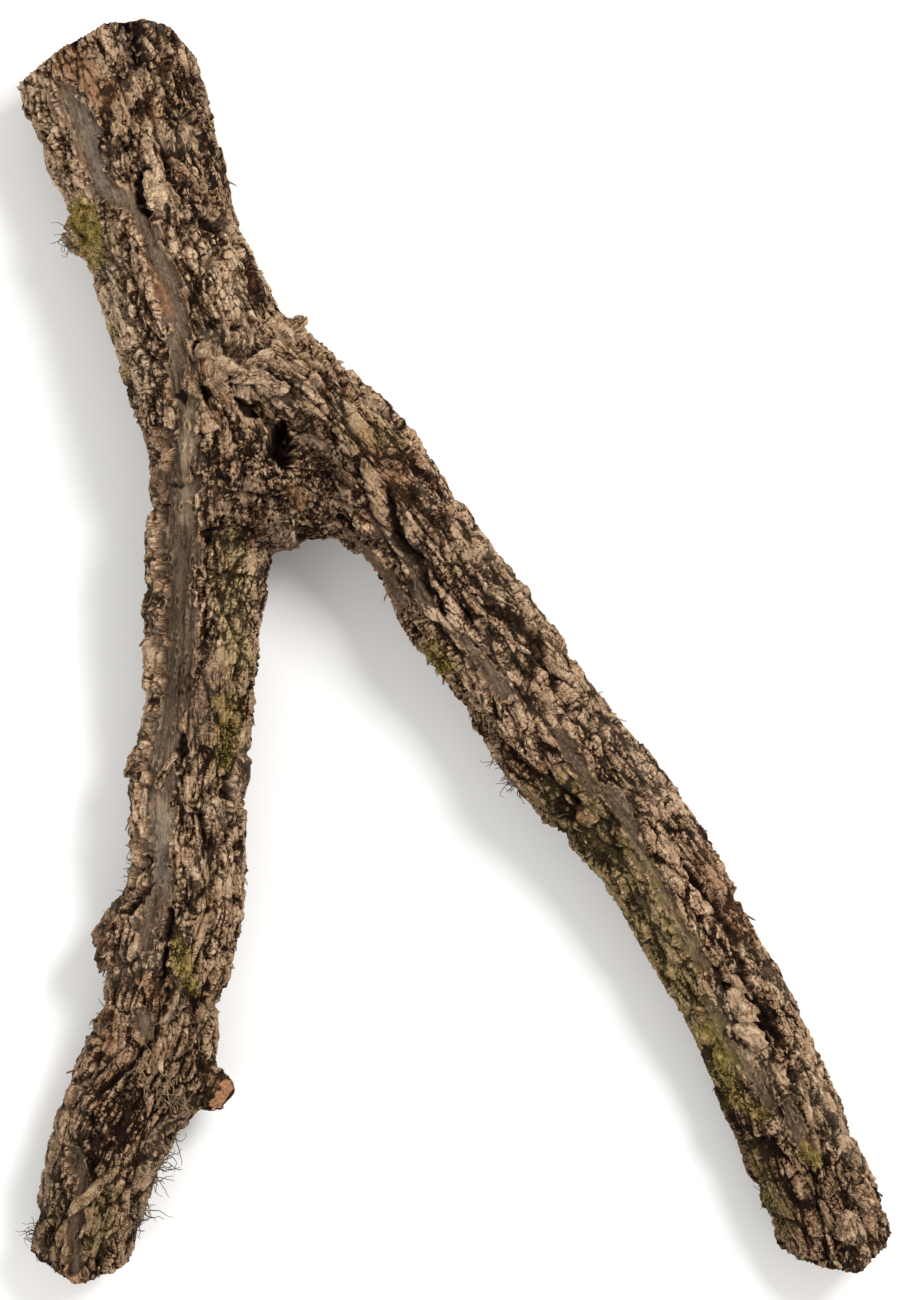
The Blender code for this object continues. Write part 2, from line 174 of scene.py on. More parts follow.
soft_panel("key_panel", (1.2, 1.0, 2.2), 0.9, 62.0)
soft_panel("fill_panel", (-1.9, -1.2, 2.2), 1.8, 24.0)
surround = bpy.data.worlds.new("surround")
surround.use_nodes = True
surround.node_tree.nodes["Background"].inputs["Color"].default_value = colour("#ffffff")
surround.node_tree.nodes["Background"].inputs["Strength"].default_value = 0.8
bpy.context.scene.world = surround
bpy.context.scene.view_settings.view_transform = "Standard"

# %% [markdown]
# ## The limbs without their bark
#
# A limb is a bent, tapering tube. Each one is lofted: a circle at every few millimetres of its centreline, scaled
# to its width and height and bridged to the circle before. The trunk runs on into the left leg, the right leg
# leaves it at the fork, and a stub of a snapped side twig stands on the left leg.

# %% Centrelines: x, y, z, half the width seen from above, half the height
STEM = (
    (-258.0, 448.0, 58.5, 63.0, 57.0),
    (-252.0, 425.9, 58.5, 64.0, 58.0),
    (-232.1, 365.2, 61.0, 60.0, 56.5),
    (-218.5, 328.1, 64.0, 55.0, 54.0),
    (-206.3, 286.7, 66.0, 53.0, 54.0),
    (-193.5, 249.5, 68.0, 56.0, 56.0),
    (-179.9, 214.6, 70.0, 58.0, 58.0),
    (-175.0, 177.4, 71.0, 51.5, 56.0),
    (-171.4, 141.7, 70.0, 43.0, 51.0),
    (-172.1, 106.0, 68.0, 41.5, 47.0),
    (-174.0, 70.3, 65.0, 43.0, 44.0),
    (-178.0, 34.6, 62.0, 42.0, 43.0),
    (-179.0, -1.0, 59.0, 38.2, 41.0),
    (-182.0, -36.8, 57.0, 36.5, 39.5),
    (-185.5, -72.5, 55.0, 39.0, 39.0),
    (-191.4, -108.2, 53.0, 39.5, 39.0),
    (-189.9, -143.9, 51.0, 39.5, 39.0),
    (-192.5, -179.6, 49.0, 42.0, 39.0),
    (-201.0, -215.3, 47.0, 43.5, 39.0),
    (-208.5, -251.0, 45.0, 40.0, 38.0),
    (-215.0, -286.7, 43.0, 44.5, 38.0),
    (-232.8, -322.4, 41.0, 42.5, 37.0),
    (-247.8, -358.0, 39.0, 39.5, 36.0),
    (-259.2, -393.8, 37.0, 36.0, 34.0),
    (-267.8, -425.9, 36.0, 34.0, 33.0),
    (-269.9, -452.0, 36.0, 29.0, 29.0),
)
RIGHT_LEG = (
    (-163.5, 216.7, 70.0, 38.0, 44.0),
    (-131.4, 191.0, 73.0, 42.0, 46.0),
    (-90.0, 155.3, 74.0, 42.0, 46.0),
    (-53.6, 112.4, 73.0, 42.5, 44.0),
    (-24.3, 76.0, 71.0, 38.5, 42.0),
    (-5.0, 43.9, 69.0, 40.2, 41.0),
    (22.4, 8.5, 67.0, 39.5, 41.0),
    (44.6, -21.6, 65.0, 40.6, 40.0),
    (75.5, -69.2, 62.0, 43.9, 41.0),
    (114.2, -111.0, 59.0, 41.5, 40.0),
    (144.3, -151.0, 56.0, 39.0, 39.5),
    (179.9, -216.7, 52.0, 36.0, 38.0),
    (205.7, -263.1, 49.0, 37.5, 37.0),
    (235.6, -325.9, 44.5, 37.5, 38.0),
    (254.9, -374.5, 41.0, 38.3, 38.5),
    (272.0, -409.5, 39.5, 37.5, 38.0),
    (281.3, -429.5, 39.5, 34.0, 34.5),
    (288.5, -449.0, 39.0, 27.0, 28.0),
)
STUB = (
    (-206.0, -292.0, 46.0, 34.0, 32.0),
    (-188.0, -305.0, 50.0, 26.0, 25.0),
    (-173.0, -316.0, 54.0, 14.0, 14.5),
    (-161.0, -321.0, 56.0, 11.0, 12.0),
)
# Swellings: centre, then half sizes along X, Y and Z.
SWELLINGS = (
    ((-133.0, 122.0, 76.0), (50.0, 55.0, 50.0)),
    ((-108.0, 104.0, 80.0), (34.0, 30.0, 36.0)),
    ((-262.0, 293.5, 66.0), (16.0, 12.0, 19.0)),
    ((-237.0, -208.0, 52.0), (16.0, 25.0, 20.0)),
    ((-225.0, -84.0, 56.0), (9.0, 11.0, 11.0)),
    ((-114.0, 228.0, 76.0), (7.0, 8.0, 7.0)),
    ((83.0, -101.0, 54.0), (30.0, 30.0, 28.0)),
)


# %% Loft the limbs
RING_STEP = 6.0
RING_POINTS = 32


def smooth_line(stations, step):
    """Stations of a limb at an even step along a Catmull-Rom curve through the given ones."""
    given = np.array(stations, float)
    padded = np.vstack([2 * given[0] - given[1], given, 2 * given[-1] - given[-2]])
    found = []
    for a, b, c, d in zip(padded, padded[1:], padded[2:], padded[3:]):
        count = max(1, round(float(np.linalg.norm((c - b)[:3])) / step))
        for t in np.arange(count) / count:
            cubic = (2 * a - 5 * b + 4 * c - d) * t**2 + (3 * b - a - 3 * c + d) * t**3
            found.append(b + 0.5 * ((c - a) * t + cubic))
    found.append(given[-1])
    return np.array(found)


def directions(line):
    """The unit vectors along, to the side of and up from the limb at each station."""
    along = np.gradient(line[:, :3], axis=0)
    along /= np.linalg.norm(along, axis=1)[:, None]
    side = np.cross(along, (0.0, 0.0, 1.0))
    side /= np.linalg.norm(side, axis=1)[:, None]
    return along, side, np.cross(side, along)


def loft(bm, stations):
    """A closed tube: a circle at each station, scaled to its width and height, and bridged to the one before."""
    line = smooth_line(stations, RING_STEP)
    along, side, up = directions(line)
    before = None
    for station, *axes in zip(line, side, up, along):
        turned = Matrix([Vector(axis) for axis in axes]).transposed().to_4x4()
        sized = Matrix.Diagonal((station[3], station[4], 1.0, 1.0))
        placed = Matrix.Translation(Vector(station[:3]) * MM) @ turned @ Matrix.Scale(MM, 4) @ sized
        made = bmesh.ops.create_circle(bm, segments=RING_POINTS, radius=1.0, matrix=placed)
        ring = list({edge for vertex in made["verts"] for edge in vertex.link_edges})
        if before is None:
            first = ring
        else:
            bmesh.ops.bridge_loops(bm, edges=before + ring)
        before = ring
    bmesh.ops.edgenet_fill(bm, edges=first)
    bmesh.ops.edgenet_fill(bm, edges=before)


def evaluated(mesh, kind, **settings):
    """The mesh after one modifier of that kind."""
    holder = bpy.data.objects.new("holder", mesh)
    bpy.context.scene.collection.objects.link(holder)
    modifier = holder.modifiers.new("step", kind)
    for name, value in settings.items():
        setattr(modifier, name, value)
    graph = bpy.context.evaluated_depsgraph_get()
    made = bpy.data.meshes.new_from_object(holder.evaluated_get(graph))
    bpy.data.objects.remove(holder)
    return made


# %% [markdown]
# The tubes are fused by a voxel remesh, which also blends the fork, smoothed to hide its steps, and divided until
# the points are about 1.3 mm apart. That is fine enough for cracks that really cast a shadow.

# %% Fuse and refine the limbs
SKIN_VOXEL = 5.3
SKIN_SMOOTHING = 4
SKIN_LEVELS = 2

limbs_bm = bmesh.new()
for limb in (STEM, RIGHT_LEG, STUB):
    loft(limbs_bm, limb)
for centre, half_sizes in SWELLINGS:
    placed = Matrix.Translation(Vector(centre) * MM) @ Matrix.Diagonal((*half_sizes, 1.0)) @ Matrix.Scale(MM, 4)
    bmesh.ops.create_icosphere(limbs_bm, subdivisions=3, radius=1.0, matrix=placed)
bmesh.ops.recalc_face_normals(limbs_bm, faces=limbs_bm.faces)
skin = bpy.data.meshes.new("skin")
limbs_bm.to_mesh(skin)
limbs_bm.free()
skin = evaluated(skin, "REMESH", mode="VOXEL", voxel_size=SKIN_VOXEL * MM)
skin = evaluated(skin, "SMOOTH", factor=0.5, iterations=SKIN_SMOOTHING)
skin = evaluated(skin, "SUBSURF", levels=SKIN_LEVELS, render_levels=SKIN_LEVELS)
print("the bare skin has", len(skin.vertices), "points")


# %% [markdown]
# ## Noise
#
# Bark is irregular but not shapeless, so its formula uses two kinds of noise. Smooth noise bends and roughens.
# Plate noise scatters seeds in a grid of cells and gives every point to its nearest seed: that is how a shrinking
# skin cracks, into plates that meet at thin gaps. Every noise is called with whole numbers of its own, which seed
# its chance, so that no two patterns run together and each run gives the same branch.

# %% Smooth noise
def ramp(low, high, values):
    """0 below low, 1 above high, and smooth between."""
    t = np.clip((values - low) / (high - low), 0.0, 1.0)
    return t * t * (3.0 - 2.0 * t)


def hashed(cells, seed):
    """A number from 0 to 1 for each whole-number cell."""
    with np.errstate(over="ignore"):
        n = cells.astype(np.int64).astype(np.uint32)
        h = n[..., 0] * np.uint32(0x8DA6B343)
        h ^= n[..., 1] * np.uint32(0xD8163841)
        h ^= n[..., 2] * np.uint32(0xCB1AB31F)
        h ^= np.uint32(seed * 0x9E3779B1 & 0xFFFFFFFF)
        h = (h ^ (h >> np.uint32(15))) * np.uint32(0x2C1B3C6D)
        h = (h ^ (h >> np.uint32(12))) * np.uint32(0x297A2D39)
        h ^= h >> np.uint32(15)
    return h.astype(np.float64) / 2.0**32


CORNERS = [(i, j, k) for i in (0, 1) for j in (0, 1) for k in (0, 1)]


def value_noise(points, seed):
    """Smooth noise from -1 to 1, with one bump for each unit of length."""
    cell = np.floor(points)
    t = points - cell
    t = t * t * (3.0 - 2.0 * t)
    total = np.zeros(len(points))
    for corner in CORNERS:
        weight = np.prod(np.where(corner, t, 1.0 - t), axis=1)
        total += weight * hashed(cell + corner, seed)
    return 2.0 * total - 1.0


def fractal(points, seed, octaves=3):
    """Layers of noise, each half as tall and twice as fine as the one before."""
    total = np.zeros(len(points))
    for octave in range(octaves):
        total += value_noise(points * 2.0**octave, seed + octave) / 2.0**octave
    return total / (2.0 - 2.0 ** (1 - octaves))


def noise_vector(place, length, seeds, octaves):
    """Three noises, to push a pattern about."""
    return np.column_stack([fractal(place / length, seed, octaves) for seed in seeds])


# %% Plate noise
NEIGHBOURS = [(i, j, k) for i in (-1, 0, 1) for j in (-1, 0, 1) for k in (-1, 0, 1)]
ROUND_LIMB = 2.0 * math.pi * 45.0


def plates(points, seed, steps=NEIGHBOURS, around=None, squareness=2.0):
    """For each point: the distance to the nearest crack, and its plate's level, lean and random shade.

    Around is the number of cells after which the pattern meets itself. More squareness gives squarer plates.
    """
    cell = np.floor(points)
    nearest = np.full(len(points), 9.0)
    second = np.full(len(points), 9.0)
    home = np.zeros_like(points)
    offset = np.zeros_like(points)
    for step in steps:
        there = cell + step
        away = points - there
        if around:
            there[:, 1] %= around
        for axis in range(3):
            away[:, axis] -= hashed(there, seed + axis)
        if around:
            away[:, 2] = 0.0
        distance = (np.abs(away) ** squareness).sum(axis=1) ** (1.0 / squareness)
        closer = distance < nearest
        second = np.where(closer, nearest, np.minimum(second, distance))
        nearest = np.where(closer, distance, nearest)
        home[closer] = there[closer]
        offset[closer] = away[closer]
    lean = sum((hashed(home, seed + 11 + axis) - 0.5) * 2.0 * offset[:, axis] for axis in range(3))
    return second - nearest, hashed(home, seed + 7), lean, hashed(home, seed + 9)


def slabs(flat, length, width, seed, squareness):
    """Plates on the unrolled limb, which meet where the limb closes."""
    around = round(ROUND_LIMB / width)
    cells = np.column_stack([flat[:, 0] / length, flat[:, 1] * around / ROUND_LIMB, np.zeros(len(flat))])
    level_steps = [step for step in NEIGHBOURS if step[2] == 0]
    return plates(cells, seed, level_steps, around, squareness)


def plate_relief(gap, level, lean, depth, opening, step, leaning):
    """How high plates stand: the depth and width of their gaps, the step from one to the next, and their lean."""
    return depth * (ramp(0.0, opening, gap) - 1.0) + step * (level - 0.5) + leaning * lean


# %% [markdown]
# ## Places on a limb
#
# Bark follows its limb. So each point gets three numbers: how far along the limb it is, how far to its side and
# how far above its middle. Patterns are laid out in those, and bend with the limb. Where the limbs meet, the
# patterns of both are mixed by how near each centreline is.

# %% Limb coordinates
LINE_STEP = 3.0
CHUNK = 20000
LIMB_SHARPNESS = 9.0


def along_limb(points, stations):
    """Where each point is on a limb: along, to the side and up, in millimetres, its depth, and the way along."""
    line = smooth_line(stations, LINE_STEP)
    along, side, up = directions(line)
    nearest = np.empty(len(points), int)
    for start in range(0, len(points), CHUNK):
        part = points[start : start + CHUNK, None, :] - line[None, :, :3]
        nearest[start : start + CHUNK] = np.argmin(np.einsum("nsi,nsi->ns", part, part), axis=1)
    travelled = np.concatenate([[0.0], np.cumsum(np.linalg.norm(np.diff(line[:, :3], axis=0), axis=1))])
    offset = points - line[nearest, :3]
    ahead = np.einsum("ni,ni->n", offset, along[nearest])
    to_side = np.einsum("ni,ni->n", offset, side[nearest])
    upward = np.einsum("ni,ni->n", offset, up[nearest])
    share = np.hypot(to_side / line[nearest, 3], upward / line[nearest, 4])
    return np.column_stack([travelled[nearest] + ahead, to_side, upward]), share, along[nearest]


def unroll(place):
    """The limb's surface laid flat: how far along, and how far round from the top, for a limb of 45 mm."""
    turn = np.arctan2(place[:, 1], place[:, 2])
    return np.column_stack([place[:, 0], turn * ROUND_LIMB / (2.0 * math.pi)])


# %% [markdown]
# ## The bark formula
#
# The coarse layers, ridges about 74 mm long and blocks about 24 mm long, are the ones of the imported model. The
# finer ones are added here. Long fissures wind along the limb where the bark has torn, and thin crests stand
# beside them. Splits divide a ridge into strips, bricks cross them, chips scale off, and fibres and growth layers
# show where a plate is torn open.

# %% Sizes of the bark, along and twice across the limb, with depths in millimetres
BARK_RISE = 2.0
WANDER_LENGTH = np.array((70.0, 34.0, 34.0))
WANDER = np.array((9.0, 7.0, 7.0))
WANDER_SEEDS = (11, 12, 13)
JAG_LENGTH = np.array((9.0, 5.0, 5.0))
JAG = np.array((2.8, 1.3, 1.3))
RIDGE_SIZE = np.array((74.0, 24.0, 24.0))
RIDGE_DEPTH = 5.0
RIDGE_STEP = 3.0
RIDGE_LEAN = 1.0
BLOCK_SIZE = np.array((24.0, 12.0, 12.0))
BLOCK_DEPTH = 1.4
BLOCK_STEP = 2.2
BLOCK_LEAN = 1.1
FISSURE_SIZE = np.array((190.0, 21.0, 21.0))
FISSURE_DEPTH = 2.6
CREST_SIZE = np.array((150.0, 17.0, 17.0))
CREST_RISE = 1.3
LAYER_GAP = 1.6
LAYER_DEPTH = 0.4
ZONE_SIZE = np.array((95.0, 40.0, 40.0))
# Plates of the unrolled limb: length, width, seed and squareness, then how deep and how wide their gaps are, the
# step from one to the next, how far each leans, and how much its shade differs.
SLABS = {
    "strips": (64.0, 10.0, 101, 2.0, 1.5, 0.16, 1.7, 0.8, 0.4),
    "bricks": (11.0, 9.5, 121, 5.0, 1.1, 0.16, 1.2, 1.0, 0.4),
    "bands": (5.5, 15.0, 131, 4.0, 0.9, 0.25, 1.0, 0.6, 0.3),
    "chips": (9.0, 4.5, 141, 3.0, 0.0, 0.16, 0.9, 0.9, 0.4),
}
# Where plates of a kind fade out, their gaps close: this many millimetres are added to the way to the nearest one.
CLOSED = 2.5
FIBRE_SIZE = np.array((18.0, 1.9, 1.9))
FIBRE_DEPTH = 0.4
GRIT_SIZE = np.array((4.4, 2.6, 2.6))
GRIT_DEPTH = 0.28


# %% Cork on one limb
def cork(place):
    """Height in millimetres, painted shade that deepens into a fissure, the plate's shade, and the way to the
    nearest crack.
    """
    place = place + noise_vector(place, WANDER_LENGTH, WANDER_SEEDS, 2) * WANDER
    jagged = place + noise_vector(place, JAG_LENGTH, (14, 16, 18), 2) * JAG
    gap, level, lean, tint = plates(jagged / RIDGE_SIZE, 21)
    height = BARK_RISE + RIDGE_DEPTH * (ramp(0.02, 0.16, gap) - 1.0)
    height += RIDGE_STEP * (level - 0.5) + RIDGE_LEAN * lean
    shade = 0.8 * (tint - 0.5)
    seam = 0.5 * RIDGE_SIZE[1] * gap
    gap, level, lean, tint = plates(jagged / BLOCK_SIZE, 31)
    height += plate_relief(gap, level, lean, BLOCK_DEPTH, 0.12, BLOCK_STEP, BLOCK_LEAN)
    shade += 0.5 * (tint - 0.5)
    seam = np.minimum(seam, 0.5 * BLOCK_SIZE[1] * gap)

    fissure = 1.0 - ramp(0.0, 0.07, np.abs(fractal(jagged / FISSURE_SIZE, 51, 2)))
    height -= FISSURE_DEPTH * fissure
    # Painted shade: the deeper in a fissure, the darker.
    crack = 0.5 * ramp(0.3, 1.0, fissure)
    crest = (1.0 - fissure) * (1.0 - ramp(0.0, 0.1, np.abs(fractal(jagged / CREST_SIZE, 55, 2))))
    height += CREST_RISE * crest
    shade += 0.3 * crest
    layers = height / LAYER_GAP + 0.7 * fractal(place / 6.0, 45, 2)
    height += LAYER_DEPTH * (np.abs(layers % 1.0 - 0.5) * 4.0 - 1.0)

    blocky = ramp(-0.35, 0.35, fractal(place / ZONE_SIZE, 48, 2))
    banded = ramp(0.0, 0.35, fractal(place / ZONE_SIZE, 62, 2))
    flaky = (1.0 - 0.7 * blocky) * (1.0 - 0.8 * banded)
    shares = {"strips": 1.0, "bricks": blocky, "bands": banded, "chips": flaky}
    flat = unroll(jagged)
    for kind, (length, width, seed, squareness, depth, opening, step, leaning, tinting) in SLABS.items():
        gap, level, lean, tint = slabs(flat, length, width, seed, squareness)
        height += shares[kind] * plate_relief(gap, level, lean, depth, opening, step, leaning)
        seam = np.minimum(seam, 0.5 * min(length, width) * gap + CLOSED * (1.0 - shares[kind]))
        shade += tinting * shares[kind] * (tint - 0.5)
    fibres = fractal(jagged / FIBRE_SIZE, 71, 2)
    height += FIBRE_DEPTH * fibres + GRIT_DEPTH * fractal(jagged / GRIT_SIZE, 75, 2)
    return height, crack, shade + 0.35 * fibres, seam


# %% [markdown]
# Where the limbs part, the bark has healed over old wounds into a crumbly mass with little direction. In the
# grooves the cork has split down to the inner bark, which is smoother, with fine streaks and small raised pores.

# %% Healed bark over the fork
CALLUS_CENTRE = np.array((-124.0, 112.0, 82.0))
CALLUS_HALF_SIZE = np.array((60.0, 64.0, 62.0))
CALLUS_SHARE = 0.88
CALLUS_SIZE = 17.0
CALLUS_DEPTH = 5.0
CALLUS_JAG_LENGTH = 8.0
CALLUS_JAG = 4.5
# Clods and the crumbs on them: size, then the depth and width of the gaps, the step and the lean, and how many
# millimetres away the nearest gap is for each unit of the plate noise.
CLOD_SIZE = (17.0, 11.0, 12.0)
CLODS = (2.8, 0.16, 3.8, 2.6)
CLOD_REACH = 5.5
CRUMB_SIZE = (5.5, 4.0, 4.5)
CRUMBS = (0.9, 0.2, 1.2, 0.8)
CRUMB_REACH = 2.2
SPECK_SIZE = 3.2


def callus_bark(points):
    """Crumbly bark with no direction."""
    height = CALLUS_DEPTH * fractal(points / CALLUS_SIZE, 41, 3)
    jagged = points + noise_vector(points, CALLUS_JAG_LENGTH, (24, 26, 28), 3) * CALLUS_JAG
    gap, level, lean, tint = plates(jagged / CLOD_SIZE, 81)
    height += plate_relief(gap, level, lean, *CLODS)
    # Painted shade in the gaps between the clods.
    crack = 0.5 * (1.0 - ramp(0.0, 0.12, gap))
    seam = CLOD_REACH * gap
    shade = 0.6 * (tint - 0.5)
    gap, level, lean, tint = plates(jagged / CRUMB_SIZE, 91)
    height += plate_relief(gap, level, lean, *CRUMBS) + fractal(points / SPECK_SIZE, 95, 2)
    seam = np.minimum(seam, CRUMB_REACH * gap)
    return height, crack, shade + 0.5 * (tint - 0.5) - 0.1, seam


# %% Inner bark in the grooves
PORE_LENGTH = 13.5
PORE_WIDTH = 8.5
PORE_SHARE = 0.7
# Pores show only below the fork, this far along the trunk and on.
PORES_FROM = 262.0
STREAK_SIZE = np.array((34.0, 2.4, 2.4))


def inner_bark(place):
    """Streaks along the limb and lens-shaped pores: height, painted shade in the pores' slits and the streaks'
    grooves, and shade.
    """
    jagged = place + noise_vector(place, JAG_LENGTH, (44, 46, 48), 2) * (1.6, 0.8, 0.8)
    streaks = fractal(jagged / STREAK_SIZE, 151, 3)
    cells = unroll(jagged) / (PORE_LENGTH, PORE_WIDTH)
    cell = np.floor(cells)
    there = np.column_stack([cell, np.zeros(len(cell))])
    middle = np.column_stack([0.35 + 0.3 * hashed(there, 161), 0.32 + 0.36 * hashed(there, 162)])
    offset = (cells - cell - middle).T / (0.5 + 0.5 * hashed(there, 164))
    reach = np.hypot(offset[0] / 0.42, offset[1] / 0.34)
    is_open = (hashed(there, 163) < PORE_SHARE) & (place[:, 0] > PORES_FROM)
    lip = is_open * (1.0 - ramp(0.75, 1.25, reach))
    slit = is_open * (1.0 - ramp(0.3, 0.7, reach))
    patchy = fractal(place / (26.0, 10.0, 10.0), 168, 3)
    height = 1.3 * streaks + 2.4 * lip - 1.4 * slit + 0.5 * fractal(place / 3.4, 166, 2) + 1.2 * patchy
    # Painted shade: dark in a pore's slit and in the grooves between streaks.
    crack = np.maximum(0.95 * slit, 0.5 * ramp(0.15, 0.6, -streaks))
    return height, crack, 0.7 * streaks + 0.8 * lip + 1.0 * patchy


# %% [markdown]
# ## Features of this branch
#
# The formula gives bark in general. What makes it this branch is placed one by one, as seen from above: the smooth
# grooves where the cork has split down to the inner bark, the raised seams beside them, and the holes.

# %% Grooves, seams and holes: half width, depth or height in millimetres, and a path in the view from above
SMOOTH_GROOVES = (
    (10.0, 4.0, ((70, 100), (84, 130), (94, 160), (104, 188))),
    (8.0, 5.0, ((104, 180), (118, 204), (138, 216))),
    (8.0, 5.5, ((138, 216), (149, 232), (156, 252), (165, 275), (174, 296), (181, 318), (183, 340))),
    (6.5, 5.5, ((183, 340), (181, 360), (180, 385), (184, 404))),
    (10.0, 4.5, ((190, 414), (187, 436), (184, 462), (182, 490))),
    (13.5, 4.5, ((182, 480), (182, 520), (181, 560), (180, 600), (178, 660))),
    (12.0, 4.5, ((178, 655), (173, 700), (165, 735), (161, 765), (159, 790))),
    (10.0, 4.5, ((161, 808), (160, 850), (160, 878), (152, 915))),
    (9.0, 4.0, ((152, 905), (147, 935))),
    (6.0, 4.5, ((76, 1155), (82, 1177), (80, 1205), (72, 1231), (76, 1270))),
    (6.0, 4.0, ((352, 538), (375, 567), (401, 604))),
    (6.5, 4.0, ((465, 645), (484, 670), (501, 692))),
    (7.0, 3.5, ((560, 735), (575, 760), (588, 788))),
    (5.5, 5.0, ((607, 788), (626, 814), (634, 839), (646, 867), (660, 895), (675, 924), (699, 962))),
    (6.5, 4.5, ((708, 1003), (712, 1032), (731, 1051), (757, 1077), (764, 1103))),
    (6.5, 4.5, ((786, 1101), (790, 1120), (801, 1144))),
    (7.0, 3.0, ((143, 1015), (145, 1027))),
)
SEAMS = (
    (6.0, 4.0, ((156, 440), (155, 500), (156, 560), (155, 620), (153, 690))),
    (6.0, 3.5, ((146, 790), (139, 830), (140, 865))),
    (5.0, 4.0, ((159, 880), (151, 894), (139, 910), (132, 923))),
    (6.0, 4.0, ((165, 1144), (139, 1160), (117, 1177), (93, 1194))),
    (5.0, 3.0, ((373, 434), (393, 456), (410, 484), (432, 508), (449, 525))),
    (10.0, 3.5, ((673, 868), (695, 894), (713, 920), (728, 945), (738, 968))),
    (10.0, 3.5, ((727, 1000), (745, 1035))),
    (9.0, 4.0, ((206, 352), (222, 340), (240, 342), (256, 350))),
    (8.0, 4.0, ((246, 372), (266, 385), (284, 408))),
    (7.0, 3.5, ((126, 225), (140, 262), (150, 290), (162, 330), (168, 380))),
    (7.0, 3.5, ((158, 172), (160, 196), (168, 218))),
    (5.0, 3.5, ((501, 607), (532, 627), (540, 653), (566, 692), (597, 742))),
    (6.0, 3.5, ((628, 792), (650, 820), (671, 843))),
    (7.0, 3.5, ((196, 545), (216, 515), (240, 504), (270, 500))),
)
HOLE_HALF_WIDTH = 5.5
EDGE_CELL = 8.0
EDGE_RAGGED = 0.9
FURROWS = (
    (12.5, 24.0, ((282, 430), (283, 450), (291, 468))),
    (8.0, 5.0, ((184, 398), (184, 406))),
    (6.0, 9.0, ((242, 403), (250, 410), (260, 418))),
    (5.0, 8.0, ((208, 392), (214, 400), (213, 410))),
    (5.0, 8.0, ((202, 360), (202, 344), (212, 333), (226, 330), (244, 331))),
    (5.0, 8.0, ((166, 140), (170, 158), (172, 178))),
    (8.5, 8.0, ((153, 176), (144, 194), (147, 208), (153, 222))),
    (6.5, 9.0, ((203, 222), (212, 230), (222, 234))),
    (6.0, 6.0, ((131, 24), (136, 50), (140, 78))),
    (4.0, 5.0, ((160, 30), (168, 80), (172, 130))),
    (2.8, 4.5, ((209, 531), (223, 527), (235, 505), (248, 498), (270, 500), (284, 503))),
    (1.8, 3.0, ((166, 488), (184, 488))),
    (3.0, 4.0, ((199, 577), (228, 574), (250, 578))),
    (3.0, 4.0, ((206, 588), (208, 640))),
    (4.0, 5.0, ((252, 690), (236, 710), (226, 735), (220, 762))),
    (6.5, 8.0, ((391, 492), (394, 520), (401, 545), (419, 565), (428, 586), (444, 614))),
    (6.5, 6.0, ((488, 603), (520, 628), (542, 652), (556, 690))),
    (4.5, 7.0, ((172, 907), (171, 923), (168, 941), (166, 974))),
    (4.5, 7.0, ((169, 988), (166, 1000), (165, 1013))),
    (7.0, 7.0, ((184, 736), (183, 758))),
    (7.0, 7.0, ((225, 778), (229, 796))),
    (6.0, 6.0, ((151, 885), (138, 902), (131, 916))),
    (4.0, 5.5, ((206, 800), (208, 856))),
    (11.0, 8.0, ((560, 796), (572, 818))),
    (5.5, 7.0, ((683, 863), (701, 892), (716, 908), (730, 935), (740, 961), (744, 982))),
    (5.5, 7.0, ((745, 992), (755, 1012), (761, 1032), (768, 1042))),
    (6.0, 7.0, ((788, 1066), (793, 1076))),
    (5.5, 6.0, ((723, 984), (729, 992))),
    (5.0, 6.0, ((113, 1140), (97, 1158), (88, 1170))),
)


# %% Distance to a path
def near_path(plan, path, reach):
    """How far each point is from a path in the view from above, where under reach, and how far along it is."""
    distance = np.full(len(plan), 2.0 * reach)
    share = np.zeros(len(plan))
    inside = np.flatnonzero(((plan > path.min(axis=0) - reach) & (plan < path.max(axis=0) + reach)).all(axis=1))
    close = plan[inside]
    best = distance[inside]
    passed = np.zeros(len(inside))
    for number, (a, b) in enumerate(zip(path, path[1:])):
        leg = b - a
        t = np.clip(((close - a) @ leg) / (leg @ leg), 0.0, 1.0)
        away = np.linalg.norm(close - a - t[:, None] * leg, axis=1)
        passed = np.where(away < best, number + t, passed)
        best = np.minimum(best, away)
    distance[inside] = best
    share[inside] = passed / (len(path) - 1)
    return distance, share


def within(plan, rough, half_width, profile, path, taper=0.0):
    """1 along a path, falling to 0 at its rough edge. A taper narrows the path towards its ends."""
    full, none = profile
    distance, share = near_path(plan, from_view(path), 1.4 * half_width * none)
    width = half_width * (1.0 - taper * (2.0 * share - 1.0) ** 2)
    return 1.0 - ramp(full, none, distance / width + rough)


# %% [markdown]
# ## Raising the bark
#
# Every point of the skin moves along its normal by the height that the formula gives. The same numbers are kept
# on the points as attributes, so that the material knows what lies in a crack and what stands proud.

# %% The formula at every point of the skin
count = len(skin.vertices)
points = np.empty(count * 3)
skin.vertices.foreach_get("co", points)
points = points.reshape(-1, 3) / MM
normals = np.empty(count * 3)
skin.vertices.foreach_get("normal", normals)
normals = normals.reshape(-1, 3)

limb_places = [along_limb(points, stations) for stations in (STEM, RIGHT_LEG)]
pull = np.array([np.exp(-LIMB_SHARPNESS * share) for _, share, _ in limb_places])
pull /= pull.sum(axis=0)
height = np.zeros(count)
crack = np.zeros(count)
shade = np.zeros(count)
seam = np.zeros(count)
for weight, (place, _, _) in zip(pull, limb_places):
    felt = np.flatnonzero(weight > 0.01)
    for total, value in zip((height, crack, shade, seam), cork(place[felt])):
        total[felt] += weight[felt] * value
on_right = (pull[1] > pull[0])[:, None]
grain = np.where(on_right, limb_places[1][0] + (900.0, 0.0, 0.0), limb_places[0][0])
way_along = np.where(on_right, limb_places[1][2], limb_places[0][2])

